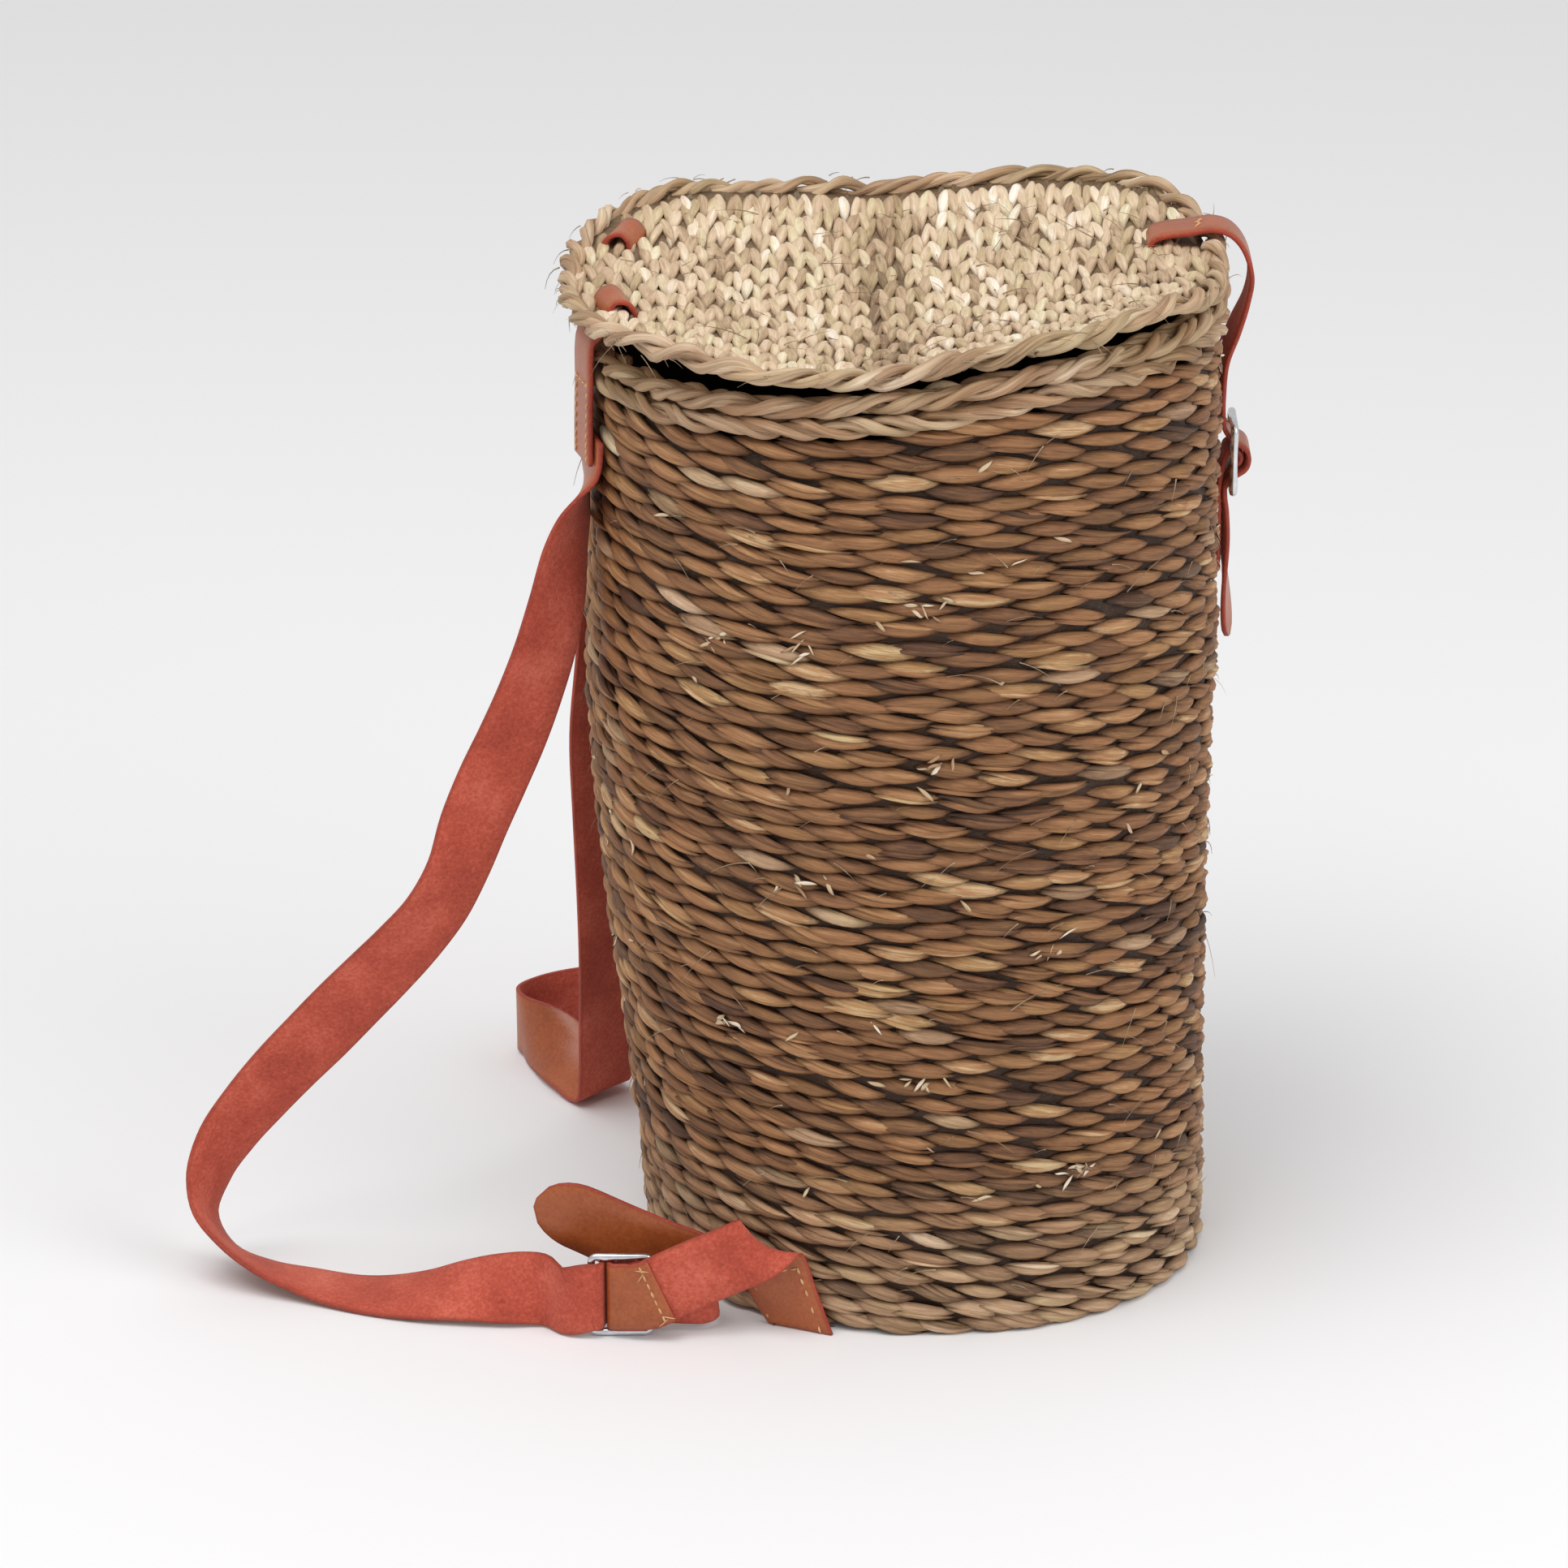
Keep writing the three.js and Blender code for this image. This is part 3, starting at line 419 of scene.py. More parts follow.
def add_object(name, mesh, materials):
    for material in materials:
        mesh.materials.append(material)
    piece = linked(name, mesh)
    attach(piece, "root")
    return piece


def finished_mesh(name, bm, smooth=True):
    bmesh.ops.recalc_face_normals(bm, faces=bm.faces)
    for face in bm.faces:
        face.smooth = smooth
    mesh = bpy.data.meshes.new(name)
    bm.to_mesh(mesh)
    bm.free()
    return mesh


def store(mesh, name, kind, domain, values):
    field = "vector" if kind == "FLOAT_VECTOR" else "value"
    attribute = mesh.attributes.new(name, kind, domain)
    attribute.data.foreach_set(field, np.asarray(values, np.float32).ravel())


def stitch_shape(lobes, twist, bend, heavy, seed):
    """One straw stitch: a pointed bundle along X, from -1 to 1, heavier on one side, with soft ridges."""
    chance = np.random.RandomState(seed)
    phase = chance.uniform(0, 6.28)
    bm = bmesh.new()
    bmesh.ops.create_uvsphere(bm, u_segments=8, v_segments=9, radius=1)
    bmesh.ops.rotate(bm, verts=bm.verts, matrix=Matrix.Rotation(math.pi / 2, 3, "Y"))
    for v in bm.verts:
        x = math.copysign(abs(math.asin(max(-1, min(1, v.co.x))) / (math.pi / 2)) ** 0.95, v.co.x)
        turn = math.atan2(v.co.z, v.co.y)
        turn -= 0.35 * math.sin(turn)
        leaf = (1 - abs(x) ** 1.75) ** 0.8 * (1 + heavy * x) if abs(x) < 1 else 0
        ridge = 1 + 0.12 * math.cos(lobes * turn + twist * x + phase)
        v.co.x = x
        v.co.y = leaf * ridge * math.cos(turn)
        v.co.z = leaf * ridge * math.sin(turn) + bend * (1 - x * x)
    bmesh.ops.recalc_face_normals(bm, faces=bm.faces)
    mesh = bpy.data.meshes.new("stitch_shape")
    bm.to_mesh(mesh)
    bm.free()
    points = np.zeros(len(mesh.vertices) * 3)
    mesh.vertices.foreach_get("co", points)
    loops = np.zeros(len(mesh.loops), int)
    mesh.loops.foreach_get("vertex_index", loops)
    totals = np.zeros(len(mesh.polygons), int)
    mesh.polygons.foreach_get("loop_total", totals)
    bpy.data.meshes.remove(mesh)
    return points.reshape(-1, 3), loops, totals


STITCHES = [
    stitch_shape(2, 2.0, 0.12, 0.2, 1),
    stitch_shape(3, -1.5, -0.1, 0.05, 2),
    stitch_shape(2, 2.6, 0.16, 0.25, 3),
    stitch_shape(3, -2.2, -0.14, 0.12, 4),
    stitch_shape(2, 1.2, 0.0, -0.05, 5),
]


# How far a stitch sinks at the border of its row, and its lowest place over the floor, in millimetres.
ROW_SINK = 1.2
FLOOR_GAP = 0.4


def laid_stitches(name, spots):
    """Joined mesh of one array of stitches; each spot has a frame, sizes, slant, dip and tone."""
    centre, along, out, up = (np.asarray(spots[k], float) for k in ("centre", "along", "out", "up"))
    size = np.asarray(spots["size"], float)
    slant = np.asarray(spots["slant"], float)
    dip = np.asarray(spots["dip"], float)
    kind = CHANCE.randint(0, len(STITCHES), len(centre))
    places, grains, tones, dyes, painted_lights, loops, totals = [], [], [], [], [], [], []
    first = 0
    for k, (shape, corner, total) in enumerate(STITCHES):
        pick = np.flatnonzero(kind == k)
        if not len(pick):
            continue
        x, thick_share, tall_share = (shape[None, :, axis] for axis in range(3))
        along_mm = x * size[pick, 0, None]
        thick_mm = thick_share * size[pick, 1, None]
        tall_mm = tall_share * size[pick, 2, None]
        up_mm = tall_mm + slant[pick, None] * np.sin(x * math.pi / 2) + spots["rise"][pick, None]
        edge = np.minimum(1.3, (up_mm * spots["band"][pick, None]) ** 2)
        out_mm = thick_mm - dip[pick, None] * x**2 - ROW_SINK * edge
        place = (
            centre[pick, None, :]
            + along_mm[..., None] * along[pick, None, :]
            + out_mm[..., None] * out[pick, None, :]
            + up_mm[..., None] * up[pick, None, :]
        )
        offset = CHANCE.uniform(0, 900, (len(pick), 1, 3))
        grain = np.stack([along_mm, thick_mm, tall_mm], -1)
        n = len(shape)
        place[..., 2] = np.maximum(place[..., 2], FLOOR_GAP)
        places.append(place.reshape(-1, 3))
        grains.append((grain + offset).reshape(-1, 3))
        tones.append(np.repeat(spots["tone"][pick], n))
        dyes.append(np.repeat(spots["dye"][pick], n))
        # Painted shade: each stitch is darker towards its back, its two ends and the borders of its row,
        # where the stitches shade each other.
        painted_light = (thick_share * 0.5 + 0.5) * (1 - 0.55 * np.abs(x) ** 3) * (1 - 0.3 * edge)
        painted_lights.append(np.broadcast_to(painted_light, (len(pick), n)).ravel())
        starts = first + np.arange(len(pick)) * n
        loops.append((starts[:, None] + corner[None, :]).ravel())
        totals.append(np.tile(total, len(pick)))
        first += n * len(pick)
    return joined_mesh(name, places, loops, totals, grains, tones, dyes, painted_lights)


def joined_mesh(name, places, loops, totals, grains, tones, dyes, painted_lights):
    places = np.concatenate(places)
    loops = np.concatenate(loops)
    totals = np.concatenate(totals)
    mesh = bpy.data.meshes.new(name)
    mesh.vertices.add(len(places))
    mesh.vertices.foreach_set("co", (places * MM).astype(np.float32).ravel())
    mesh.loops.add(len(loops))
    mesh.loops.foreach_set("vertex_index", loops.astype(np.int32))
    mesh.polygons.add(len(totals))
    mesh.polygons.foreach_set("loop_start", (np.cumsum(totals) - totals).astype(np.int32))
    mesh.polygons.foreach_set("use_smooth", np.ones(len(totals), bool))
    mesh.update(calc_edges=True)
    store(mesh, "grain", "FLOAT_VECTOR", "POINT", np.concatenate(grains))
    store(mesh, "tone", "FLOAT", "POINT", np.concatenate(tones))
    store(mesh, "dye", "FLOAT", "POINT", np.concatenate(dyes))
    store(mesh, "painted_light", "FLOAT", "POINT", np.concatenate(painted_lights))
    return mesh


def unit(v):
    return v / np.linalg.norm(v, axis=-1, keepdims=True)


SPOT_VALUES = ("centre", "along", "out", "up", "size", "slant", "dip", "tone", "dye", "rise", "band")


def empty_spots():
    return {key: [] for key in SPOT_VALUES}


def add_spots(spots, **values):
    """Adds stitches; rise is their place across the row and band is one over half the row's width."""
    for key in ("rise", "band"):
        values.setdefault(key, np.zeros(len(values["tone"])))
    for key, value in values.items():
        spots[key].append(np.asarray(value, float))


def closed_spots(spots):
    return {key: np.concatenate(values) for key, values in spots.items()}


def row_tones(count):
    """Tone of each stitch along a row: that of its two strands in turn, plus chance."""
    strand = CHANCE.uniform(0.32, 0.62, 2)
    tone = np.where(np.arange(count) % 2 == 0, strand[0], strand[1])
    return np.clip(tone + CHANCE.normal(0, 0.17, count), 0, 1)


# Basket wall: its rows, and in millimetres a stitch's spacing at the foot and its growth up the wall.
ROWS = 51
WALL_STEP = 18.2
WALL_STEP_GROWTH = 3.2
PALE_FOOT = 0.16
CORE_INSET = 3.4


def wall_row(spots, row):
    """One row of stitches, with thinner strands laid beside half of them."""
    pitch = 1.0 / ROWS
    up = (row + 0.5) * pitch
    band = 2 / (pitch * BODY_H)
    angles = np.linspace(0, 2 * math.pi, 721)
    path = wall_point(angles, np.full(len(angles), up))
    length = np.concatenate([[0], np.cumsum(np.linalg.norm(np.diff(path, axis=0), axis=1))])
    step = WALL_STEP + WALL_STEP_GROWTH * min(1, up * 1.4)
    count = 2 * int(round(length[-1] / step / 2))
    start = CHANCE.uniform(0, 1) + 0.5 * (row % 2)
    at = ((np.arange(count) + start + CHANCE.normal(0, 0.1, count)) / count % 1) * length[-1]
    angle = np.interp(at, length, angles)
    ups = up + pitch * (0.12 * np.sin(2 * angle + row * 0.7) + CHANCE.normal(0, 0.035, count))
    ups = np.clip(ups, 0.35 * pitch, 1 - 0.35 * pitch)
    centre = wall_point(angle, ups)
    along = unit(wall_point(angle + 0.01, ups) - wall_point(angle - 0.01, ups))
    upward = unit(wall_point(angle, np.minimum(ups + 0.01, 1)) - wall_point(angle, ups - 0.01))
    out = unit(np.cross(along, upward))
    deep = CHANCE.uniform(2.3, 2.8, count)
    tall = pitch * BODY_H * CHANCE.uniform(0.4, 0.5, count)
    half = length[-1] / count * CHANCE.uniform(0.72, 0.92, count)
    proud = CHANCE.normal(0.75, 0.35, count).clip(0.0, 1.2)
    pale = np.clip(1.2 - up / PALE_FOOT, 0, 1) * 0.32 + 0.3 * (CHANCE.uniform(0, 1, count) > 0.96)
    slant = -CHANCE.normal(2.5, 0.5, count)
    tone = row_tones(count)
    add_spots(
        spots,
        centre=centre + out * (proud - deep)[:, None],
        along=along,
        out=out,
        up=upward,
        size=np.stack([half, deep, tall], -1),
        slant=slant,
        dip=CHANCE.uniform(1.9, 3.0, count),
        tone=tone,
        dye=pale,
        band=np.full(count, band),
    )
    pick = np.flatnonzero(CHANCE.uniform(0, 1, count) < 0.5)
    n = len(pick)
    lift = tall[pick] * CHANCE.choice([-0.6, 0.6], n) + CHANCE.normal(0, 0.2, n)
    slim = CHANCE.uniform(1.5, 2.0, n)
    add_spots(
        spots,
        centre=centre[pick] + out[pick] * (proud[pick] - slim + 0.5)[:, None],
        along=along[pick],
        out=out[pick],
        up=upward[pick],
        size=np.stack([half[pick] * CHANCE.uniform(0.8, 1.05, n), slim, CHANCE.uniform(1.1, 1.7, n)], -1),
        slant=slant[pick] * CHANCE.uniform(0.9, 1.4, n),
        dip=CHANCE.uniform(1.2, 2.4, n),
        tone=np.clip(tone[pick] + CHANCE.normal(0, 0.16, n), 0, 1),
        dye=pale[pick],
        rise=lift,
        band=np.full(n, band),
    )


def make_wall(straw):
    halves = {"wall_weave_lower": range(0, ROWS // 2), "wall_weave_upper": range(ROWS // 2, ROWS)}
    for name, rows in halves.items():
        spots = empty_spots()
        for row in rows:
            wall_row(spots, row)
        add_object(name, laid_stitches(name, closed_spots(spots)), [straw])
    core = wall_core()
    # Painted shade: the backing shell is coloured very dark, as it shows only in the gaps between
    # stitches.
    plain_attributes(core, 0.1)
    backing = add_object("wall_core", core, [straw])
    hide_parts("basket_body")


def ring_of(bm, count, place):
    """A closed ring of vertices, each put in place."""
    made = bmesh.ops.create_circle(bm, cap_ends=False, segments=count, radius=1)["verts"]
    made.sort(key=lambda v: math.atan2(v.co.y, v.co.x) % (2 * math.pi))
    for i, v in enumerate(made):
        v.co = Vector(place(i)) * MM
    return made


def next_ring(bm, ring, place):
    """Extrudes a closed ring of vertices and puts the new ring in place, in the same order."""
    edges = [bm.edges.get((ring[i], ring[(i + 1) % len(ring)])) for i in range(len(ring))]
    made = bmesh.ops.extrude_edge_only(bm, edges=edges)["geom"]
    fresh = {g for g in made if isinstance(g, bmesh.types.BMVert)}
    order = []
    for v in ring:
        order.append(next(e.other_vert(v) for e in v.link_edges if e.other_vert(v) in fresh))
    for i, v in enumerate(order):
        v.co = Vector(place(i)) * MM
    return order


def wall_core():
    """Backing shell behind the stitches, open at the top, with the floor."""
    count = 96
    angle = np.arange(count) / count * 2 * math.pi
    outer = [(up, CORE_INSET) for up in np.linspace(0.012, 0.995, 14)]
    inner = [(up, WALL) for up in np.linspace(0.995, 0.02, 14)]
    rings = [wall_point(angle, np.full(count, up), inset) for up, inset in outer + inner]
    bm = bmesh.new()
    ring = ring_of(bm, count, lambda i: rings[0][i])
    first = ring
    for points in rings[1:]:
        ring = next_ring(bm, ring, lambda i, p=points: p[i])
    bm.faces.new(first)
    bm.faces.new(ring)
    return finished_mesh("wall_core", bm)


def plain_attributes(mesh, painted_light, dye=0.0):
    """The straw material's attributes for a piece without stitches, with one even amount of painted shade.
    """
    count = len(mesh.vertices)
    place = np.zeros(count * 3)
    mesh.vertices.foreach_get("co", place)
    store(mesh, "grain", "FLOAT_VECTOR", "POINT", place / MM)
    store(mesh, "tone", "FLOAT", "POINT", np.full(count, 0.3))
    store(mesh, "dye", "FLOAT", "POINT", np.full(count, dye))
    store(mesh, "painted_light", "FLOAT", "POINT", np.full(count, painted_light))


# Floor of the basket: rings of stitches, with their spacing in millimetres.
FLOOR_RINGS = 14
FLOOR_RING_STEP = 8
FLOOR_STEP = 19


def make_base(straw):
    """Rings of stitches under the floor of the basket."""
    spots = empty_spots()
    for ring in range(FLOOR_RINGS):
        radius = 5 + ring * FLOOR_RING_STEP
        count = max(4, int(round(2 * math.pi * radius / FLOOR_STEP)))
        angle = (np.arange(count) + CHANCE.uniform(0, 1)) / count * 2 * math.pi
        x, y = section_point(angle, radius, radius * 0.975, 2.1)
        along = np.stack([-np.sin(angle), np.cos(angle), 0 * angle], -1)
        down = np.tile([0.0, 0.0, -1.0], (count, 1))
        reach = min(10.5, 1.1 * math.pi * radius / count)
        add_spots(
            spots,
            centre=np.stack([x, y, 2.8 + 0 * x], -1),
            along=along,
            out=down,
            up=np.cross(down, along),
            size=np.tile([max(reach, 4) * 1.3, 2.3, 3.7], (count, 1)),
            slant=np.full(count, -1.8),
            dip=np.full(count, 1.8),
            tone=row_tones(count),
            dye=np.full(count, 0.35),
        )
    add_object("base_weave", laid_stitches("base_weave", closed_spots(spots)), [straw])


# Lid: spacing of its rows and stitches, how far they reach into the rope and sink under a strap, and
# half the width of a strap's slit, in millimetres. The tilt is a slope.
LID_ROW = 3.7
LID_STEP = 20.5
LID_TUCK = 4.5
LID_PRESS = 1.4
SLIT_HALF = 3.2
LID_TILT = 0.05
# Rows of the closing strap and of a hinge strap that lie in a slit of the lid.
CLOSING_SLIT = 3
HINGE_SLITS = (8, 12)


def strap_press(x, y):
    """How far the lid's stitches sink under the closing strap."""
    slit = front_rows(CLOSING_RUN)[CLOSING_SLIT]
    under = (np.abs(y - CLOSING_Y) < CLOSING_W / 2 + 2) & (x > slit[0] - 5)
    return np.where(under, LID_PRESS, 0.0)


def open_slit(x, y):
    """Which places lie in a slit that a strap passes through."""
    slit = front_rows(CLOSING_RUN)[CLOSING_SLIT]
    near = (np.abs(y - CLOSING_Y) < CLOSING_W / 2 - 1) & (np.abs(x - slit[0]) < SLIT_HALF)
    for side in HINGE_Y.values():
        rows = hinge_rows(side)
        lean = -math.copysign(0.3, side) * (y - side)
        for slit in (rows[k] for k in HINGE_SLITS):
            near |= (np.abs(y - side) < HINGE_W / 2 - 1) & (np.abs(x - slit[0] + lean) < SLIT_HALF)
    return near


def lid_directions(x, y, face):
    """Outward and lengthwise directions of stitches on the lid; face is 1 above and -1 below."""
    near = 1.0
    span, flat = np.full(len(x), 2 * near), np.zeros(len(x))
    dx = np.stack([span, flat, lid_height(x + near, y) - lid_height(x - near, y)], -1)
    dy = np.stack([flat, span, lid_height(x, y + near) - lid_height(x, y - near)], -1)
    out = unit(np.cross(dx, dy)) * face
    return out, unit(unit(dy) - LID_TILT * out)


def lid_row(spots, row, x0, half_x, half_y):
    """One row of stitches across the lid, on both faces; two rows that slant apart make a chain of Vs."""
    reach = half_y * max(0.0, 1 - abs(x0 / half_x) ** LID_SQUARENESS) ** (1 / LID_SQUARENESS)
    count = max(2, int(round(2 * reach / LID_STEP)))
    pitch = 2 * reach / count
    stagger = 0.22 if row // 2 % 2 else -0.22
    y = -reach + 2 * reach * (np.arange(count) + 0.5 + stagger + CHANCE.normal(0, 0.1, count)) / count
    limit = reach + LID_TUCK - 1.8 * reach / count
    y = np.clip(y, -limit, limit)
    x = LID_X + x0 + CHANCE.normal(0, 0.3, count)
    keep = ~open_slit(x, y)
    x, y = x[keep], y[keep]
    n = len(x)
    # Painted shade of a fold: stitches in a band across the lid near x = -20 mm, and towards both of its
    # ends, are made darker and browner.
    fold_shade = np.exp(-(((x + 20) / 14) ** 2)) + 0.4 * (x0 / half_x) ** 2
    for face in (1, -1):
        out, along = lid_directions(x, y, face)
        deep = CHANCE.uniform(1.9, 2.4, n)
        proud = CHANCE.normal(0.3, 0.25, n).clip(-0.3, 0.7) - (strap_press(x, y) if face > 0 else 0)
        half = pitch * CHANCE.uniform(0.8, 0.98, n)
        add_spots(
            spots,
            centre=np.stack([x, y, lid_height(x, y)], -1) + out * (LID_THICK / 2 + proud - deep)[:, None],
            along=along,
            out=out,
            up=np.cross(out, along),
            size=np.stack([half, deep, CHANCE.uniform(2.3, 3.1, n)], -1),
            slant=(1 if row % 2 else -1) * CHANCE.normal(1.3, 0.5, n),
            dip=CHANCE.uniform(1.4, 2.4, n),
            tone=np.clip(CHANCE.normal(0.63, 0.16, n) - 0.3 * fold_shade, 0, 1),
            # Painted light: the lid's stitches take mostly the pale straw colour, partly their own paler
            # straw and partly painted top light.
            dye=np.clip(0.91 - 0.2 * fold_shade + CHANCE.normal(0, 0.12, n), 0, 1),
        )


def make_lid(straw):
    half_x = LID_LONG / 2 - ROPE_D + 1
    half_y = LID_WIDE / 2 - ROPE_D + 1.5
    spots = empty_spots()
    rows = int(2 * half_x / LID_ROW)
    for row in range(rows + 1):
        lid_row(spots, row, (-half_x + 2 * half_x * row / rows) * 0.995, half_x, half_y)
    add_object("lid_weave", laid_stitches("lid_weave", closed_spots(spots)), [straw])
    core = lid_core(half_x + 1, half_y + 1)
    # Painted shade: the lid's inner sheet is coloured darker, as it shows only in the gaps between
    # stitches.
    plain_attributes(core, 0.4, 0.7)
    backing = add_object("lid_core", core, [straw])
    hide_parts("lid_mat")


def lid_core(half_x, half_y):
    """Thin closed sheet between the two faces of the lid."""
    count = 64
    angle = np.arange(count) / count * 2 * math.pi
    bm = bmesh.new()

    def level(share, side):
        x, y = section_point(angle, half_x * share, half_y * share, LID_SQUARENESS)
        return np.stack([LID_X + x, y, lid_height(LID_X + x, y) + side * 1.2], -1)

    shares = [0.06, 0.25, 0.45, 0.65, 0.82, 0.93, 1.0]
    rings = [level(s, -1) for s in shares] + [level(s, 1) for s in reversed(shares)]
    ring = ring_of(bm, count, lambda i: rings[0][i])
    first = ring
    for points in rings[1:]:
        ring = next_ring(bm, ring, lambda i, p=points: p[i])
    bm.faces.new(first)
    bm.faces.new(ring)
    return finished_mesh("lid_core", bm)


# Ropes of the rim and the lid edge.
PLIES = 2
STRAWS = 2
STRAW_R = 1.95


def new_curve(name, radius, resolution):
    curve = bpy.data.curves.new(name, "CURVE")
    curve.dimensions = "3D"
    curve.bevel_depth = radius
    curve.bevel_resolution = resolution
    curve.fill_mode = "FULL"
    return curve


def rope_mesh(name, path, out, spread, turns, phase, seed):
    """Closed rope of two plies, each a twisted bundle of straws, as a mesh made from curves."""
    chance = np.random.RandomState(seed)
    count = len(path)
    t = np.arange(count) / count
    curve = new_curve(name, MM, 1)
    up = np.array([0.0, 0.0, 1.0])

    def drift(size, waves):
        """Sum of closed waves round the rope, of chance height and place."""
        return sum(
            size * chance.uniform(0.4, 1) * np.sin(2 * math.pi * (w * t + chance.uniform())) for w in waves
        )

    for ply in range(PLIES):
        turn = 2 * math.pi * (turns * t + ply / PLIES) + phase + drift(0.4, (5, 9, 16))
        core = spread + drift(0.2, (7, 13, 29))
        for straw in range(STRAWS):
            roll = math.pi * straw + 1.1 + drift(0.9, (6, 11))
            low = 1.2 + drift(0.12, (19, 31))
            across = core * np.cos(turn) + low * np.cos(roll + turn)
            rise = core * np.sin(turn) + low * np.sin(roll + turn)
            place = path + out * across[:, None] + up * rise[:, None]
            radius = STRAW_R + drift(0.24, (12, 23, 37, 61))
            spline = curve.splines.new("POLY")
            spline.points.add(count - 1)
            co = np.concatenate([place * MM, np.ones((count, 1))], 1)
            spline.points.foreach_set("co", co.ravel())
            spline.points.foreach_set("radius", radius)
            spline.use_cyclic_u = True
    return curve_mesh(name, curve)


def curve_mesh(name, curve):
    carrier = linked(name + "_curve", curve)
    graph = bpy.context.evaluated_depsgraph_get()
    mesh = bpy.data.meshes.new_from_object(carrier.evaluated_get(graph))
    mesh.name = name
    bpy.data.objects.remove(carrier)
    for polygon in mesh.polygons:
        polygon.use_smooth = True
    return mesh


def rope_attributes(mesh, length, dye, seed):
    """Grain, tone, paleness and painted-shade level of a rope or of fibres, from the curve's own map; the
    level 0.8 paints no shade.

    The map's first value runs along each strand and the second round it. The tone drifts along a strand
    between knots, with its own knots for each quarter of the faces, which is one straw of a rope.
    """
    chance = np.random.RandomState(seed)
    flat = np.zeros(len(mesh.loops) * 2, np.float32)
    mesh.uv_layers[0].data.foreach_get("uv", flat)
    u, v = flat.reshape(-1, 2).T
    turn = 2 * math.pi * v
    grain = np.stack([u * length, 3 * np.cos(turn), 3 * np.sin(turn)], -1)
    store(mesh, "grain", "FLOAT_VECTOR", "CORNER", grain)
    strands = PLIES * STRAWS
    face = np.repeat(np.arange(len(mesh.polygons)), 4)[: len(u)]
    strand = face * strands // len(mesh.polygons)
    knots = chance.uniform(0.25, 0.8, (strands, 61))
    knots[:, -1] = knots[:, 0]
    tone = np.zeros(len(u))
    for k in range(strands):
        tone[strand == k] = np.interp(u[strand == k], np.linspace(0, 1, 61), knots[k])
    store(mesh, "tone", "FLOAT", "CORNER", tone)
    store(mesh, "dye", "FLOAT", "CORNER", np.clip(dye + 0.15 * np.sin(u * 60 + strand), 0, 1))
    store(mesh, "painted_light", "FLOAT", "CORNER", np.full(len(u), 0.8))


def outward(angle, half_x, half_y, power):
    """Level direction out of an outline at each angle."""
    x, y = section_point(angle, half_x, half_y, power)
    gx = np.sign(x) * np.abs(x / half_x) ** (power - 1) / half_x
    gy = np.sign(y) * np.abs(y / half_y) ** (power - 1) / half_y
    g = np.hypot(gx, gy)
    return np.stack([gx / g, gy / g, 0 * g], -1)


def make_rim(straw):
    count = 440
    angle = np.arange(count) / count * 2 * math.pi
    centre = wall_point(angle, np.ones(count), WALL / 2)
    out = outward(angle, TOP_D / 2, TOP_D / 2, SQUARENESS)
    centre[:, 2] += 2.4 * CLEAR + RIM_TALL / 2
    ropes = [
        ("rim_rope_upper", 1.5, 4.7, 20, 0.0),
        ("rim_rope_lower", 2.0, -3.9, -20, 1.2),
        ("rim_rope_upper_inner", -3.2, 4.4, -18, 0.6),
        ("rim_rope_lower_inner", -3.0, -4.0, 18, 2.0),
    ]
    for i, (name, outwards, upwards, turns, phase) in enumerate(ropes):
        path = centre + out * outwards + np.array([0, 0, upwards])
        mesh = rope_mesh(name, path, out, spread=1.9, turns=turns, phase=phase, seed=40 + i)
        rope_attributes(mesh, length=800, dye=0.32, seed=20 + i)
        add_object(name, mesh, [straw])
    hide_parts("rim_braid")


def make_lid_rope(straw):
    count = 480
    angle = np.arange(count) / count * 2 * math.pi
    half_x = (LID_LONG - ROPE_D) / 2
    half_y = (LID_WIDE - ROPE_D) / 2
    x, y = section_point(angle, half_x, half_y, LID_SQUARENESS)
    out = outward(angle, half_x, half_y, LID_SQUARENESS)
    path = np.stack([LID_X + x, y, lid_edge_height(LID_X + x, y) - 0.5], -1)
    mesh = rope_mesh("lid_edge_rope", path, out, spread=2.35, turns=21, phase=0.4, seed=60)
    rope_attributes(mesh, length=850, dye=0.5, seed=31)
    rope = add_object("lid_edge_rope", mesh, [straw])
    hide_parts("lid_rope")


# Loose fibres that stand out of the weave: how many, and their shares on the wall and the lid's edge.
FIBRES = 620
WALL_SHARE = 0.62
LID_EDGE_SHARE = 0.18
FIBRE_GAP = 0.6


def fibre_root():
    """Where a fibre starts, with its directions outwards, along the weave and across it."""
    where = CHANCE.uniform()
    up = np.array([0.0, 0.0, 1.0])
    if where < WALL_SHARE:
        angle = np.array([CHANCE.uniform(0, 2 * math.pi)])
        start = wall_point(angle, np.array([CHANCE.uniform(0.01, 0.99)]))[0]
        out = outward(angle, TOP_D / 2, TOP_D / 2, SQUARENESS)[0]
        return start, out, np.array([-out[1], out[0], 0.0]), up
    if where < WALL_SHARE + LID_EDGE_SHARE:
        angle = np.array([CHANCE.uniform(0, 2 * math.pi)])
        x, y = section_point(angle, LID_LONG / 2, LID_WIDE / 2, LID_SQUARENESS)
        out = outward(angle, LID_LONG / 2, LID_WIDE / 2, LID_SQUARENESS)[0]
        height = lid_edge_height(LID_X + x[0], y[0]) + CHANCE.uniform(-3, 4)
        return np.array([LID_X + x[0], y[0], height]) - out, out, np.array([-out[1], out[0], 0.0]), up
    x = LID_X + CHANCE.uniform(-110, 110)
    y = CHANCE.uniform(-100, 100)
    start = np.array([x, y, float(lid_height(x, y)) + LID_THICK / 2])
    along = unit(np.array([CHANCE.normal(), CHANCE.normal(), 0.0]))
    return start, up, along, np.array([-along[1], along[0], 0.0])


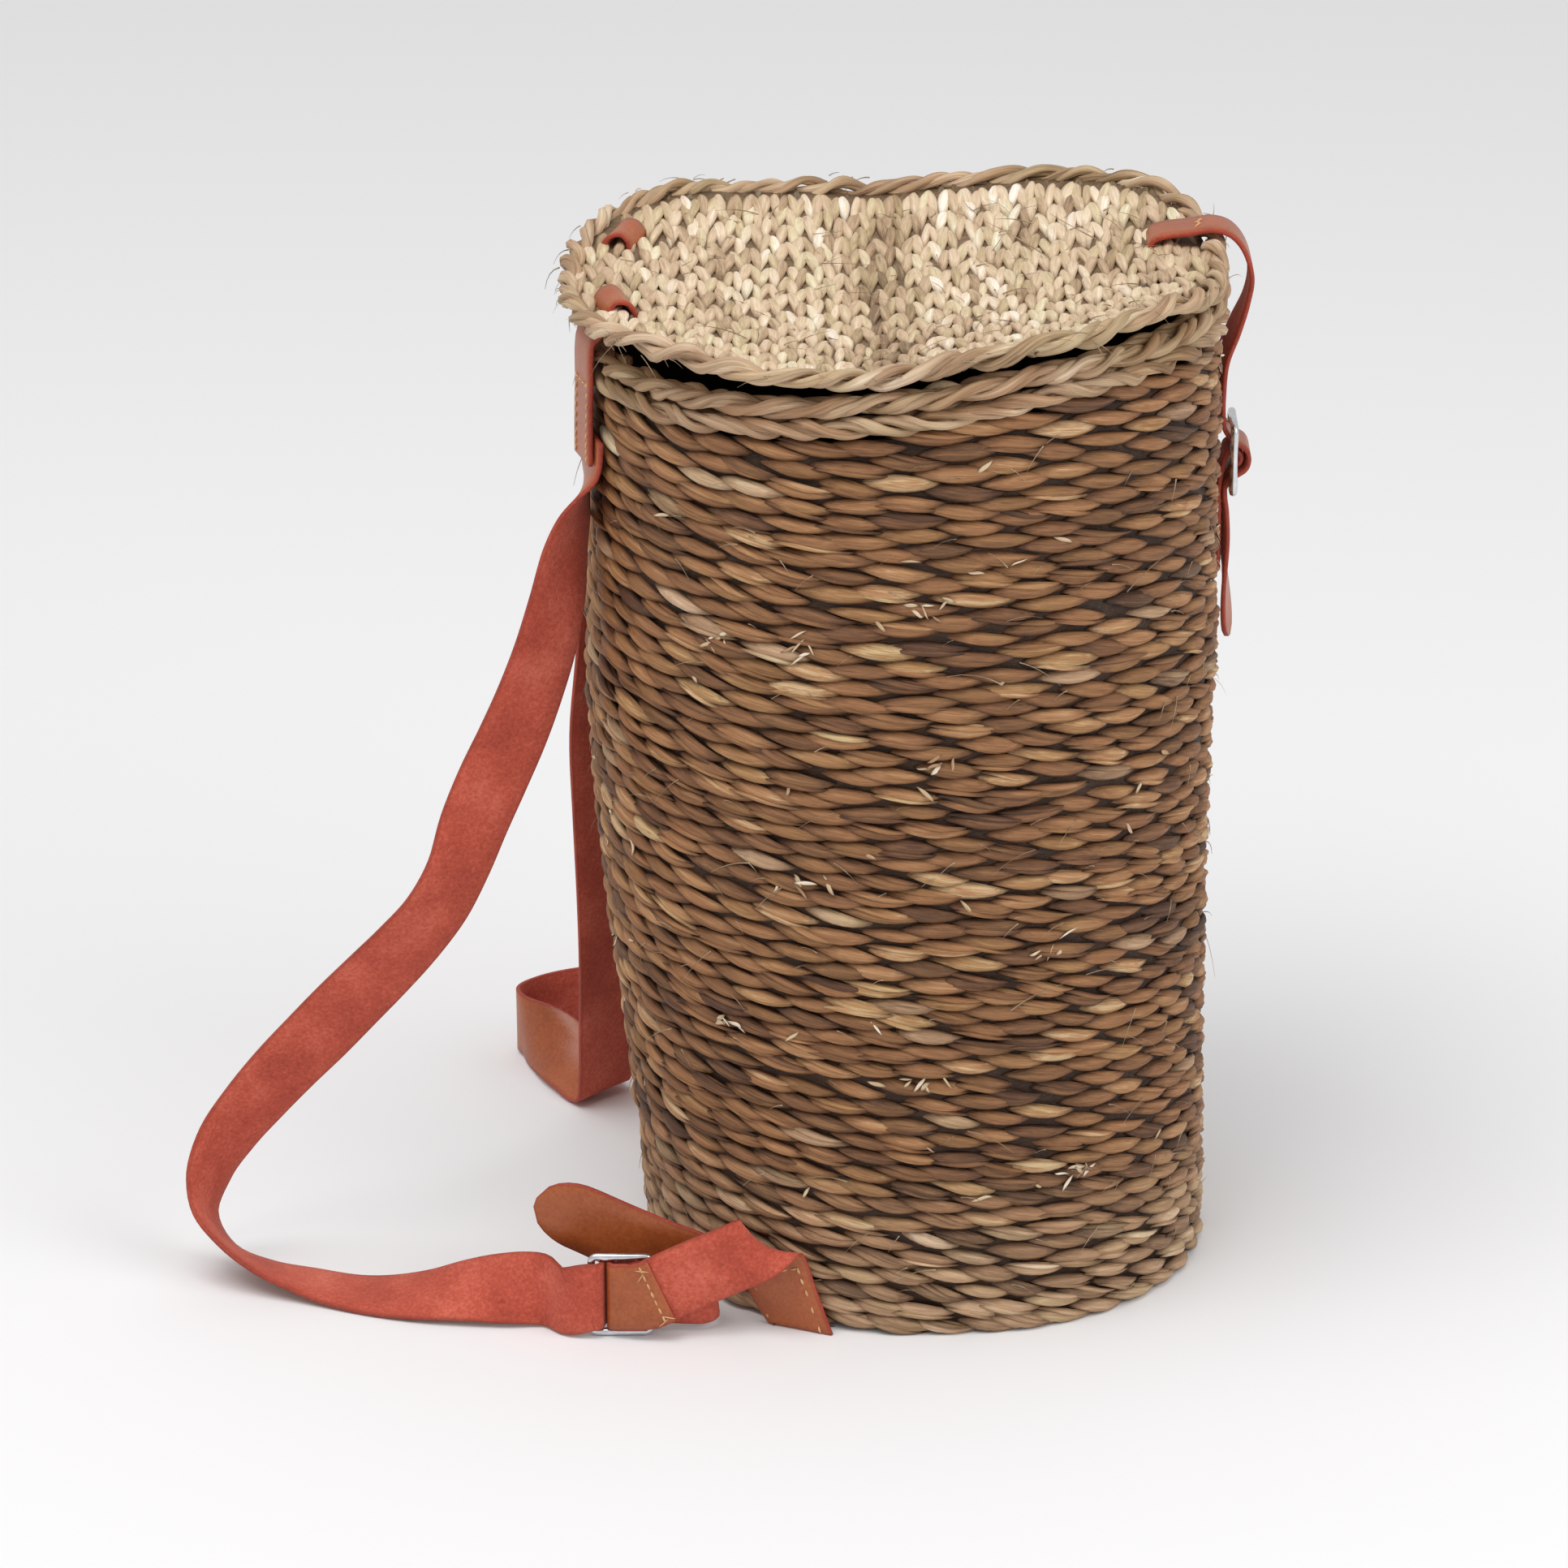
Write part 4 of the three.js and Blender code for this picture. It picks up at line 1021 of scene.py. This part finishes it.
def make_fibres(straw):
    curve = new_curve("loose_fibres", MM, 0)
    for _ in range(FIBRES):
        start, out, along, lift = fibre_root()
        reach = CHANCE.gamma(2.0, 3.2) + 3
        heading = math.copysign(0.85, CHANCE.normal(0, 1))
        rise = CHANCE.normal(0, 0.6)
        stand = CHANCE.uniform(0.1, 0.55)
        thick = CHANCE.uniform(0.12, 0.34)
        spline = curve.splines.new("POLY")
        spline.points.add(4)
        for i, point in enumerate(spline.points):
            s = i / 4
            bend = along * heading + lift * (rise - 0.5 * s) * 0.7 + out * stand * (1 - 0.35 * s)
            place = start + reach * s * bend
            place[2] = max(place[2], FIBRE_GAP)
            point.co = (*(place * MM), 1)
            point.radius = thick * (1 - 0.75 * s)
    mesh = curve_mesh("loose_fibres", curve)
    rope_attributes(mesh, length=20, dye=0.7, seed=5)
    add_object("loose_fibres", mesh, [straw])


# Tufts of frayed ends: angle round the wall and height share.
TUFTS = [(-1.47, 0.65), (0.0, 0.62), (-0.12, 0.97), (-1.9, 0.52), (-1.1, 0.43), (-2.2, 0.78)]


def make_frays(straw):
    """Short pale ends of straw that poke out between the stitches, six to a tuft and some alone."""
    chosen = np.stack([CHANCE.uniform(0, 6.28, 14), CHANCE.uniform(0.1, 0.95, 14)], 1)
    tufts = np.concatenate([TUFTS, chosen])
    lone = np.stack([CHANCE.uniform(0, 2 * math.pi, 80), CHANCE.uniform(0.05, 0.98, 80)], 1)
    grouped = np.repeat(tufts, 6, 0) + CHANCE.normal(0, 1, (len(tufts) * 6, 2)) * (0.035, 0.006)
    angle, up = np.concatenate([grouped, lone]).T
    up = up.clip(0.05, 0.99)
    count = len(angle)
    place = wall_point(angle, up)
    out = outward(angle, TOP_D / 2, TOP_D / 2, SQUARENESS)
    side = np.stack([-out[:, 1], out[:, 0], 0 * angle], -1) * np.sign(CHANCE.normal(0, 1, count))[:, None]
    rise = np.array([0, 0, 1.0]) * CHANCE.normal(-0.5, 0.5, count)[:, None]
    along = unit(side + out * CHANCE.uniform(0.12, 0.3, count)[:, None] + rise)
    half = CHANCE.uniform(2.0, 5.0, count)
    facing = unit(out - along * np.sum(out * along, 1)[:, None])
    spots = empty_spots()
    add_spots(
        spots,
        centre=place + along * (half * 0.7)[:, None] - out * 0.6,
        along=along,
        out=facing,
        up=np.cross(facing, along),
        size=np.stack([half, CHANCE.uniform(0.25, 0.5, count), CHANCE.uniform(0.4, 1.1, count)], -1),
        slant=CHANCE.normal(0, 0.7, count),
        dip=CHANCE.normal(0, 0.7, count),
        tone=CHANCE.uniform(0.5, 1, count),
        dye=CHANCE.uniform(0.2, 0.75, count),
    )
    add_object("frayed_ends", laid_stitches("frayed_ends", closed_spots(spots)), [straw])


# Leather straps, with their rounded edge in millimetres.
EDGE = 0.45
# Material of each face round a strap's section: 0 is the side towards its normal, 1 the other, 2 the edge.
SECTION_SIDES = [1, 1, 1, 1, 2, 2, 2, 0, 0, 0, 0, 2, 2, 2]


def strap_section(half):
    """Outline across a strap: place across and place through the leather."""
    thick = LEATHER / 2
    low = [(a, -thick) for a in (-half + EDGE, -half / 2, 0, half / 2, half - EDGE)]
    right = [(half, -thick + EDGE), (half, thick - EDGE)]
    high = [(a, thick) for a, _ in reversed(low)]
    left = [(-half, thick - EDGE), (-half, -thick + EDGE)]
    return low + right + high + left


def rounded_tip(reach):
    """Share of the full width along a strap whose last stretch is rounded."""

    def share(t):
        d = (t - (1 - reach)) / reach
        return 1.0 if d <= 0 else max(0.12, math.sqrt(max(0.0, 1 - d * d * 0.985)))

    return share


def strap_mesh(name, rows, width, steps, tip=None, floor=False, smooth_from=1):
    """Flat strap extruded along its rows; past smooth_from its bends are evened out."""
    section = strap_section(width / 2)
    frames = []
    for i in range(steps + 1):
        t = i / steps
        centre, _, across, normal = strap_frame(rows, t)
        share = tip(t) if tip else 1.0
        ring = [centre + across * a * share + normal * b for a, b in section]
        if floor:
            ring = [np.array([p[0], p[1], max(p[2], CLEAR)]) for p in ring]
        frames.append(ring)
    frames = np.array(frames)
    ease = np.clip((np.arange(1, steps) / steps - smooth_from) / 0.05, 0, 1)[:, None, None]
    for _ in range(40 if smooth_from < 1 else 0):
        frames[1:-1] += ease * (0.25 * frames[:-2] - 0.5 * frames[1:-1] + 0.25 * frames[2:])
    bm = bmesh.new()
    share_of = bm.verts.layers.float.new("edge")
    shares = [abs(a) / (width / 2) for a, _ in section]
    count = len(section)
    ring = ring_of(bm, count, lambda i: frames[0][i])
    first = ring
    for points in frames[1:]:
        last = ring
        ring = next_ring(bm, ring, lambda i, p=points: p[i])
        for i in range(count):
            j = (i + 1) % count
            bm.faces.get((last[i], last[j], ring[j], ring[i])).material_index = SECTION_SIDES[i]
            last[i][share_of] = shares[i]
            ring[i][share_of] = shares[i]
    for end in (first, ring):
        bm.faces.new(end).material_index = 2
    return finished_mesh(name, bm)


def seam(spots, rows, width, places, side, length=3.4, thick=0.5):
    """Sewing stitches on a strap: place along, share across, turned by an angle."""
    for t, share, turn in places:
        centre, along, across, normal = strap_frame(rows, t)
        out = normal * side
        line = unit(along * math.cos(turn) + across * math.sin(turn))
        spot = centre + across * share * width / 2 + out * (LEATHER / 2 + 0.15)
        add_spots(
            spots,
            centre=[spot],
            along=[line],
            out=[out],
            up=[np.cross(out, line)],
            size=[[length / 2, thick, thick]],
            slant=[0.0],
            dip=[0.35],
            tone=[0.5],
            dye=[1.0],
        )


def line_of(t0, t1, share0, share1, count, turn=0.0):
    """A straight line of sewing stitches: place along the strap, share across it and turn of each."""
    steps = [i / (count - 1) for i in range(count)]
    return [(t0 + (t1 - t0) * s, share0 + (share1 - share0) * s, turn) for s in steps]


# Loose thread ends beside the folds and the crossed stitches on the closing strap, as places in a seam.
THREAD_ENDS = [(0.03, 0.75, 0.5), (0.05, 0.6, -0.7), (0.02, -0.8, 0.6), (0.04, -0.9, -0.4)]
CLOSING_CROSS = [(0.236, -0.25, 0.9), (0.236, 0.1, -0.9), (0.24, 0.3, 0.9)]


def make_straps(suede, smooth, edge, thread):
    near = shoulder_rows(NEAR_RUN) + placed_rows(LONG_THROUGH, -1)
    far = shoulder_rows(FAR_RUN) + placed_rows(LONG_THROUGH, 1)
    lower_near = placed_rows(LOWER_RUN, -1)
    lower_far = placed_rows(LOWER_RUN, 1)
    closing = front_rows(CLOSING_RUN)
    loop = front_rows(LOOP_RUN)
    hinge = {side: hinge_rows(y) for side, y in HINGE_Y.items()}
    rough = [suede, smooth, edge]
    sleek = [smooth, suede, edge]
    plan = [
        ("shoulder_leather_near", near, SHOULDER_W, 250, rounded_tip(0.022), rough, "shoulder_strap_near"),
        ("shoulder_leather_far", far, SHOULDER_W, 220, rounded_tip(0.025), rough, "shoulder_strap_far"),
        ("lower_leather_near", lower_near, SHOULDER_W, 130, None, rough, "lower_strap_near"),
        ("lower_leather_far", lower_far, SHOULDER_W, 130, None, sleek, "lower_strap_far"),
        ("closing_leather", closing, CLOSING_W, 180, rounded_tip(0.05), sleek, "closing_strap"),
        ("loop_leather", loop, LOOP_W, 80, None, rough, "buckle_loop"),
        ("hinge_leather_near", hinge["near"], HINGE_W, 90, None, sleek, "hinge_strap_near"),
        ("hinge_leather_far", hinge["far"], HINGE_W, 90, None, sleek, "hinge_strap_far"),
    ]
    for name, rows, width, steps, tip, sides, node in plan:
        lower = node.startswith("lower")
        mesh = strap_mesh(name, rows, width, steps, tip, lower, 0.66 if lower else 1)
        piece = add_object(name, mesh, sides)
        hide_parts(node)
    spots = empty_spots()
    for rows in hinge.values():
        seam(spots, rows, HINGE_W, line_of(0.015, 0.2, 0.72, 0.72, 9), 1)
        seam(spots, rows, HINGE_W, line_of(0.015, 0.2, -0.72, -0.72, 9), 1)
        seam(spots, rows, HINGE_W, line_of(0.2, 0.2, -0.6, 0.6, 4, math.pi / 2), 1)
    for rows, side in ((lower_near, -1), (lower_far, 1)):
        seam(spots, rows, SHOULDER_W, line_of(0.035, 0.035, -0.8, 0.8, 7, math.pi / 2), side)
        seam(spots, rows, SHOULDER_W, line_of(0.905, 0.99, -0.72, -0.72, 5), side)
        seam(spots, rows, SHOULDER_W, line_of(0.905, 0.99, 0.72, 0.72, 5), side)
        seam(spots, rows, SHOULDER_W, line_of(0.9, 0.9, -0.6, 0.6, 5, math.pi / 2), side)
    for rows, side in ((lower_near, -1), (lower_far, 1)):
        seam(spots, rows, SHOULDER_W, THREAD_ENDS, side, length=6.5, thick=0.3)
    seam(spots, closing, CLOSING_W, CLOSING_CROSS, 1, length=4.5, thick=0.55)
    seam(spots, loop, LOOP_W, line_of(0.03, 0.2, 0.7, 0.7, 6), -1)
    seam(spots, loop, LOOP_W, line_of(0.03, 0.2, -0.7, -0.7, 6), -1)
    sewing = laid_stitches("sewing_thread", closed_spots(spots))
    add_object("sewing_thread", sewing, [thread])


# Metal frames: radius of the bright wire and of its corners, room beside the leather, and the closing
# frame's long way and its row on the front.
BRIGHT_R = 1.65
CORNER_R = 2.2
SLIDE_PLAY = 1.2
CLOSING_PLAY = 1.4
CLOSING_LONG = 30
CLOSING_FRAME = (3.35, -41.6, 0, 1)


def frame_mesh(name, long, wide, bar_at, matrix):
    """Round wire frame with a thinner bar across it."""
    curve = new_curve(name, BRIGHT_R * MM, 3)
    reach = long / 2 - WIRE / 2 + 0.4
    side = wide / 2 - WIRE / 2 + 0.2
    loop = []
    for cx, cy, start in ((1, 1, 0), (-1, 1, 90), (-1, -1, 180), (1, -1, 270)):
        for step in range(5):
            turn = math.radians(start + step * 22.5)
            x = cx * (reach - CORNER_R) + CORNER_R * math.cos(turn)
            y = cy * (side - CORNER_R) + CORNER_R * math.sin(turn)
            loop.append((x, y, 0))
    bar = [(bar_at, -side, 0), (bar_at, 0, 0), (bar_at, side, 0)]
    for points, cyclic, radius in ((loop, True, 1.0), (bar, False, 0.55)):
        spline = curve.splines.new("POLY")
        spline.points.add(len(points) - 1)
        for point, p in zip(spline.points, points):
            place = matrix @ (Vector(p) * MM)
            point.co = (*place, 1)
            point.radius = radius
        spline.use_cyclic_u = cyclic
    return curve_mesh(name, curve)


def make_buckles(metal):
    tall = SHOULDER_W + SLIDE_PLAY + 2 * WIRE
    for name, side in (("near", -1), ("far", 1)):
        row = placed_rows([(0, 0, 0, 0, 0, 1, 1)], side)[0]
        turn = math.radians(FAR_TURN) if side > 0 else 0
        matrix = (
            Matrix.Translation(Vector(row[:3]) * MM)
            @ Matrix.Rotation(turn, 4, "Z")
            @ Matrix.Rotation(math.pi / 2, 4, "X")
        )
        mesh = frame_mesh("slide_frame_" + name, BUCKLE_LONG, tall, BAR_AT, matrix)
        piece = add_object("slide_frame_" + name, mesh, [metal])
        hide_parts("strap_buckle_" + name)
    row = front_rows([CLOSING_FRAME])[0]
    matrix = Matrix.Translation(Vector(row[:3]) * MM) @ Matrix.Rotation(math.pi / 2, 4, "Y")
    tall = CLOSING_W + CLOSING_PLAY + 2 * WIRE
    mesh = frame_mesh("closing_frame", CLOSING_LONG, tall, 0, matrix)
    piece = add_object("closing_frame", mesh, [metal])
    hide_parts("closing_buckle")


# Materials.
def linear(r, g, b):
    """A colour for a socket, from screen values of 0 to 255."""
    shares = (value / 255 for value in (r, g, b))
    return (*(((s + 0.055) / 1.055) ** 2.4 if s > 0.04 else s / 12.92 for s in shares), 1.0)


def new_group(name, inputs, outputs):
    group = bpy.data.node_groups.new(name, "ShaderNodeTree")
    for label, kind, value in inputs:
        socket = group.interface.new_socket(label, in_out="INPUT", socket_type=kind)
        if value is not None:
            socket.default_value = value
    for label, kind in outputs:
        group.interface.new_socket(label, in_out="OUTPUT", socket_type=kind)
    nodes = group.nodes
    return group, nodes, group.links, nodes.new("NodeGroupInput"), nodes.new("NodeGroupOutput")


def math_node(nodes, links, operation, a, b=None, clamp=False):
    node = nodes.new("ShaderNodeMath")
    node.operation = operation
    node.use_clamp = clamp
    for socket, value in zip(node.inputs, (a, b)):
        if value is None:
            continue
        if isinstance(value, (int, float)):
            socket.default_value = value
        else:
            links.new(value, socket)
    return node.outputs[0]


def noise_node(nodes, links, vector, scale, detail=2.0, roughness=0.5):
    node = nodes.new("ShaderNodeTexNoise")
    node.inputs["Scale"].default_value = scale
    node.inputs["Detail"].default_value = detail
    node.inputs["Roughness"].default_value = roughness
    links.new(vector, node.inputs["Vector"])
    return node.outputs[0]


def stretched(nodes, links, vector, scale):
    node = nodes.new("ShaderNodeMapping")
    node.inputs["Scale"].default_value = scale
    links.new(vector, node.inputs["Vector"])
    return node.outputs[0]


def summed(nodes, links, first, first_share, second, second_share):
    """Two values added, each times its share."""
    first = math_node(nodes, links, "MULTIPLY", first, first_share)
    second = math_node(nodes, links, "MULTIPLY", second, second_share)
    return math_node(nodes, links, "ADD", first, second)


def fibre_group():
    """Fine fibres along a straw bundle: colour streaks and relief."""
    group, nodes, links, given, result = new_group(
        "straw_fibres",
        [("Grain", "NodeSocketVector", None)],
        [("Streak", "NodeSocketFloat"), ("Relief", "NodeSocketFloat")],
    )
    grain = given.outputs["Grain"]
    wide = noise_node(nodes, links, stretched(nodes, links, grain, (0.035, 0.55, 0.55)), 1.0, 2.0)
    fine = noise_node(nodes, links, stretched(nodes, links, grain, (0.09, 2.2, 2.2)), 1.0, 3.0)
    links.new(summed(nodes, links, wide, 0.6, fine, 0.4), result.inputs["Streak"])
    links.new(summed(nodes, links, wide, 0.5, fine, 1.0), result.inputs["Relief"])
    return group


def ramp_node(nodes, links, value, stops):
    node = nodes.new("ShaderNodeValToRGB")
    ramp = node.color_ramp
    while len(ramp.elements) < len(stops):
        ramp.elements.new(0.5)
    for element, (place, colour) in zip(ramp.elements, stops):
        element.position = place
        element.color = colour
    links.new(value, node.inputs[0])
    return node.outputs[0]


def mix_node(nodes, links, share, a, b, blend="MIX"):
    node = nodes.new("ShaderNodeMix")
    node.data_type = "RGBA"
    node.blend_type = blend
    for socket, value in ((node.inputs[0], share), (node.inputs[6], a), (node.inputs[7], b)):
        if isinstance(value, (int, float, tuple)):
            socket.default_value = value
        else:
            links.new(value, socket)
    return node.outputs[2]


def new_material(name):
    material = bpy.data.materials.new(name)
    material.use_nodes = True
    nodes = material.node_tree.nodes
    return material, nodes, material.node_tree.links, nodes["Principled BSDF"]


def attribute_node(nodes, name, output="Fac"):
    node = nodes.new("ShaderNodeAttribute")
    node.attribute_name = name
    return node.outputs[output]


def group_node(nodes, links, tree, label, value):
    node = nodes.new("ShaderNodeGroup")
    node.node_tree = tree
    links.new(value, node.inputs[label])
    return node


def set_rough(nodes, links, shader, value, slope, start):
    """Roughness that follows a value: slope times the value, plus start."""
    rough = math_node(nodes, links, "MULTIPLY_ADD", value, slope)
    rough.node.inputs[2].default_value = start
    links.new(rough, shader.inputs["Roughness"])


def set_relief(nodes, links, shader, height, strength, distance):
    bump = nodes.new("ShaderNodeBump")
    bump.inputs["Strength"].default_value = strength
    bump.inputs["Distance"].default_value = distance
    links.new(height, bump.inputs["Height"])
    links.new(bump.outputs[0], shader.inputs["Normal"])


def straw_material(fibres):
    """Straw: brown to pale, partly as painted top light, streaked along its grain, with green patches and
    painted shade in its hollows.
    """
    material, nodes, links, shader = new_material("straw")
    grain = attribute_node(nodes, "grain", "Vector")
    group = group_node(nodes, links, fibres, "Grain", grain)
    streak = group.outputs["Streak"]
    contrast = math_node(nodes, links, "MULTIPLY", math_node(nodes, links, "SUBTRACT", streak, 0.5), 1.5)
    shade = math_node(nodes, links, "ADD", attribute_node(nodes, "tone"), contrast, True)
    # The brown ramp is partly darkened as painted shade of the basket's sides, and the pale ramp partly
    # brightened as painted top light on the lid.
    brown = ramp_node(
        nodes,
        links,
        shade,
        [
            (0.0, linear(82, 50, 28)),
            (0.3, linear(124, 82, 48)),
            (0.6, linear(156, 108, 67)),
            (0.85, linear(180, 134, 90)),
            (1.0, linear(204, 172, 130)),
        ],
    )
    pale = ramp_node(
        nodes,
        links,
        shade,
        [
            (0.0, linear(140, 112, 84)),
            (0.3, linear(194, 166, 132)),
            (0.6, linear(226, 201, 169)),
            (0.85, linear(242, 224, 197)),
            (1.0, linear(252, 243, 229)),
        ],
    )
    colour = mix_node(nodes, links, attribute_node(nodes, "dye"), brown, pale)
    patch = noise_node(nodes, links, stretched(nodes, links, grain, (0.012, 0.05, 0.05)), 1.0, 1.0)
    greenness = ramp_node(nodes, links, patch, [(0.48, (0, 0, 0, 1)), (0.62, (0.55, 0.55, 0.55, 1))])
    green = mix_node(nodes, links, 1.0, colour, (0.9, 1.0, 0.85, 1), "MULTIPLY")
    colour = mix_node(nodes, links, greenness, colour, green)
    # Painted shade: the colour is darkened where the painted-shade level is low.
    painted_shade_ramp = ramp_node(
        nodes,
        links,
        attribute_node(nodes, "painted_light"),
        [(0.0, (0.1, 0.08, 0.06, 1)), (0.45, (0.5, 0.45, 0.4, 1)), (0.8, (1, 1, 1, 1))],
    )
    links.new(mix_node(nodes, links, 1.0, colour, painted_shade_ramp, "MULTIPLY"), shader.inputs["Base Color"])
    set_rough(nodes, links, shader, streak, -0.3, 0.78)
    set_relief(nodes, links, shader, group.outputs["Relief"], 0.9, 0.0006)
    return material


def hide_group():
    """Mottle and pores of leather."""
    group, nodes, links, given, result = new_group(
        "hide_grain",
        [("Place", "NodeSocketVector", None)],
        [("Mottle", "NodeSocketFloat"), ("Pores", "NodeSocketFloat")],
    )
    place = given.outputs["Place"]
    large = noise_node(nodes, links, place, 38.0, 3.0, 0.55)
    small = noise_node(nodes, links, place, 650.0, 3.0, 0.7)
    links.new(summed(nodes, links, large, 0.5, small, 0.5), result.inputs["Mottle"])
    links.new(noise_node(nodes, links, place, 1500.0, 2.0, 0.6), result.inputs["Pores"])
    return group


def leather_material(name, hide, colours, rough, relief, edge_colour, edge_share):
    """Leather, darker along the strap's edges."""
    material, nodes, links, shader = new_material(name)
    place = nodes.new("ShaderNodeTexCoord").outputs["Object"]
    group = group_node(nodes, links, hide, "Place", place)
    colour = ramp_node(nodes, links, group.outputs["Mottle"], colours)
    near_edge = ramp_node(
        nodes, links, attribute_node(nodes, "edge"), [(0.9, (0, 0, 0, 1)), (0.975, (1, 1, 1, 1))]
    )
    share = math_node(nodes, links, "MULTIPLY", near_edge, edge_share)
    links.new(mix_node(nodes, links, share, colour, edge_colour), shader.inputs["Base Color"])
    set_rough(nodes, links, shader, group.outputs["Mottle"], 0.2, rough)
    set_relief(nodes, links, shader, group.outputs["Pores"], relief, 0.0004)
    return material


def thread_material(fibres):
    material, nodes, links, shader = new_material("waxed_thread")
    group = group_node(nodes, links, fibres, "Grain", attribute_node(nodes, "grain", "Vector"))
    streak = group.outputs["Streak"]
    colour = ramp_node(nodes, links, streak, [(0.3, linear(178, 128, 80)), (0.7, linear(222, 182, 134))])
    links.new(colour, shader.inputs["Base Color"])
    shader.inputs["Roughness"].default_value = 0.6
    return material


def metal_material():
    material, nodes, links, shader = new_material("polished_steel")
    place = nodes.new("ShaderNodeTexCoord").outputs["Object"]
    wear = noise_node(nodes, links, place, 260.0, 4.0, 0.65)
    colour = ramp_node(nodes, links, wear, [(0.3, linear(196, 199, 203)), (0.7, linear(226, 228, 231))])
    links.new(colour, shader.inputs["Base Color"])
    set_rough(nodes, links, shader, wear, 0.25, 0.08)
    shader.inputs["Metallic"].default_value = 1.0
    return material


def soft_nap(material):
    """The soft sheen of suede."""
    shader = material.node_tree.nodes["Principled BSDF"]
    shader.inputs["Sheen Weight"].default_value = 0.35
    shader.inputs["Sheen Roughness"].default_value = 0.5
    shader.inputs["Sheen Tint"].default_value = linear(236, 160, 140)


# Floor, lights and camera.
def make_stage():
    bm = bmesh.new()
    bmesh.ops.create_grid(bm, x_segments=1, y_segments=1, size=6)
    mesh = bpy.data.meshes.new("floor")
    bm.to_mesh(mesh)
    bm.free()
    material, _, _, shader = new_material("pale_floor")
    shader.inputs["Base Color"].default_value = linear(236, 236, 237)
    shader.inputs["Roughness"].default_value = 0.9
    mesh.materials.append(material)
    floor = linked("floor", mesh)


def make_light(name, place, aim, size, watts, colour=(1, 1, 1)):
    data = bpy.data.lights.new(name, "AREA")
    data.energy = watts
    data.size = size
    data.color = colour
    light = linked(name, data)
    light.location = place
    light.rotation_euler = (Vector(aim) - Vector(place)).to_track_quat("-Z", "Y").to_euler()


def make_view():
    world = bpy.data.worlds.new("studio")
    world.use_nodes = True
    world.node_tree.nodes["Background"].inputs[0].default_value = (1, 1, 1, 1)
    world.node_tree.nodes["Background"].inputs[1].default_value = 0.66
    bpy.context.scene.world = world
    bpy.context.scene.view_settings.view_transform = "Standard"
    make_light("key", (-0.9, -0.9, 2.9), (0, 0, 0.2), 1.9, 46, (1, 0.99, 0.99))
    make_light("fill", (1.8, -1.2, 1.4), (0, 0, 0.2), 1.8, 20)
    data = bpy.data.cameras.new("camera")
    data.lens = 165.5
    data.sensor_width = 36
    data.clip_end = 50
    camera = linked("camera", data)
    camera.location = (-0.060, -2.7816, 1.3228)
    camera.rotation_euler = (math.radians(68), 0, 0)
    bpy.context.scene.camera = camera


def build():
    make_view()
    make_stage()
    fibres = fibre_group()
    hide = hide_group()
    straw = straw_material(fibres)
    suede = leather_material(
        "brick_suede",
        hide,
        [(0.3, linear(144, 50, 34)), (0.5, linear(184, 78, 58)), (0.74, linear(220, 118, 96))],
        rough=0.82,
        relief=0.8,
        edge_colour=linear(140, 52, 34),
        edge_share=0.4,
    )
    soft_nap(suede)
    smooth = leather_material(
        "tan_leather",
        hide,
        [(0.3, linear(136, 64, 28)), (0.5, linear(160, 82, 40)), (0.72, linear(180, 100, 54))],
        rough=0.24,
        relief=0.25,
        edge_colour=linear(132, 50, 30),
        edge_share=0.7,
    )
    edge = leather_material(
        "strap_edge",
        hide,
        [(0.3, linear(128, 40, 24)), (0.5, linear(158, 58, 36)), (0.72, linear(184, 80, 54))],
        rough=0.5,
        relief=0.5,
        edge_colour=linear(158, 58, 36),
        edge_share=0.0,
    )
    make_wall(straw)
    make_base(straw)
    make_rim(straw)
    make_lid(straw)
    make_lid_rope(straw)
    make_fibres(straw)
    make_frays(straw)
    make_straps(suede, smooth, edge, thread_material(fibres))
    make_buckles(metal_material())


build()
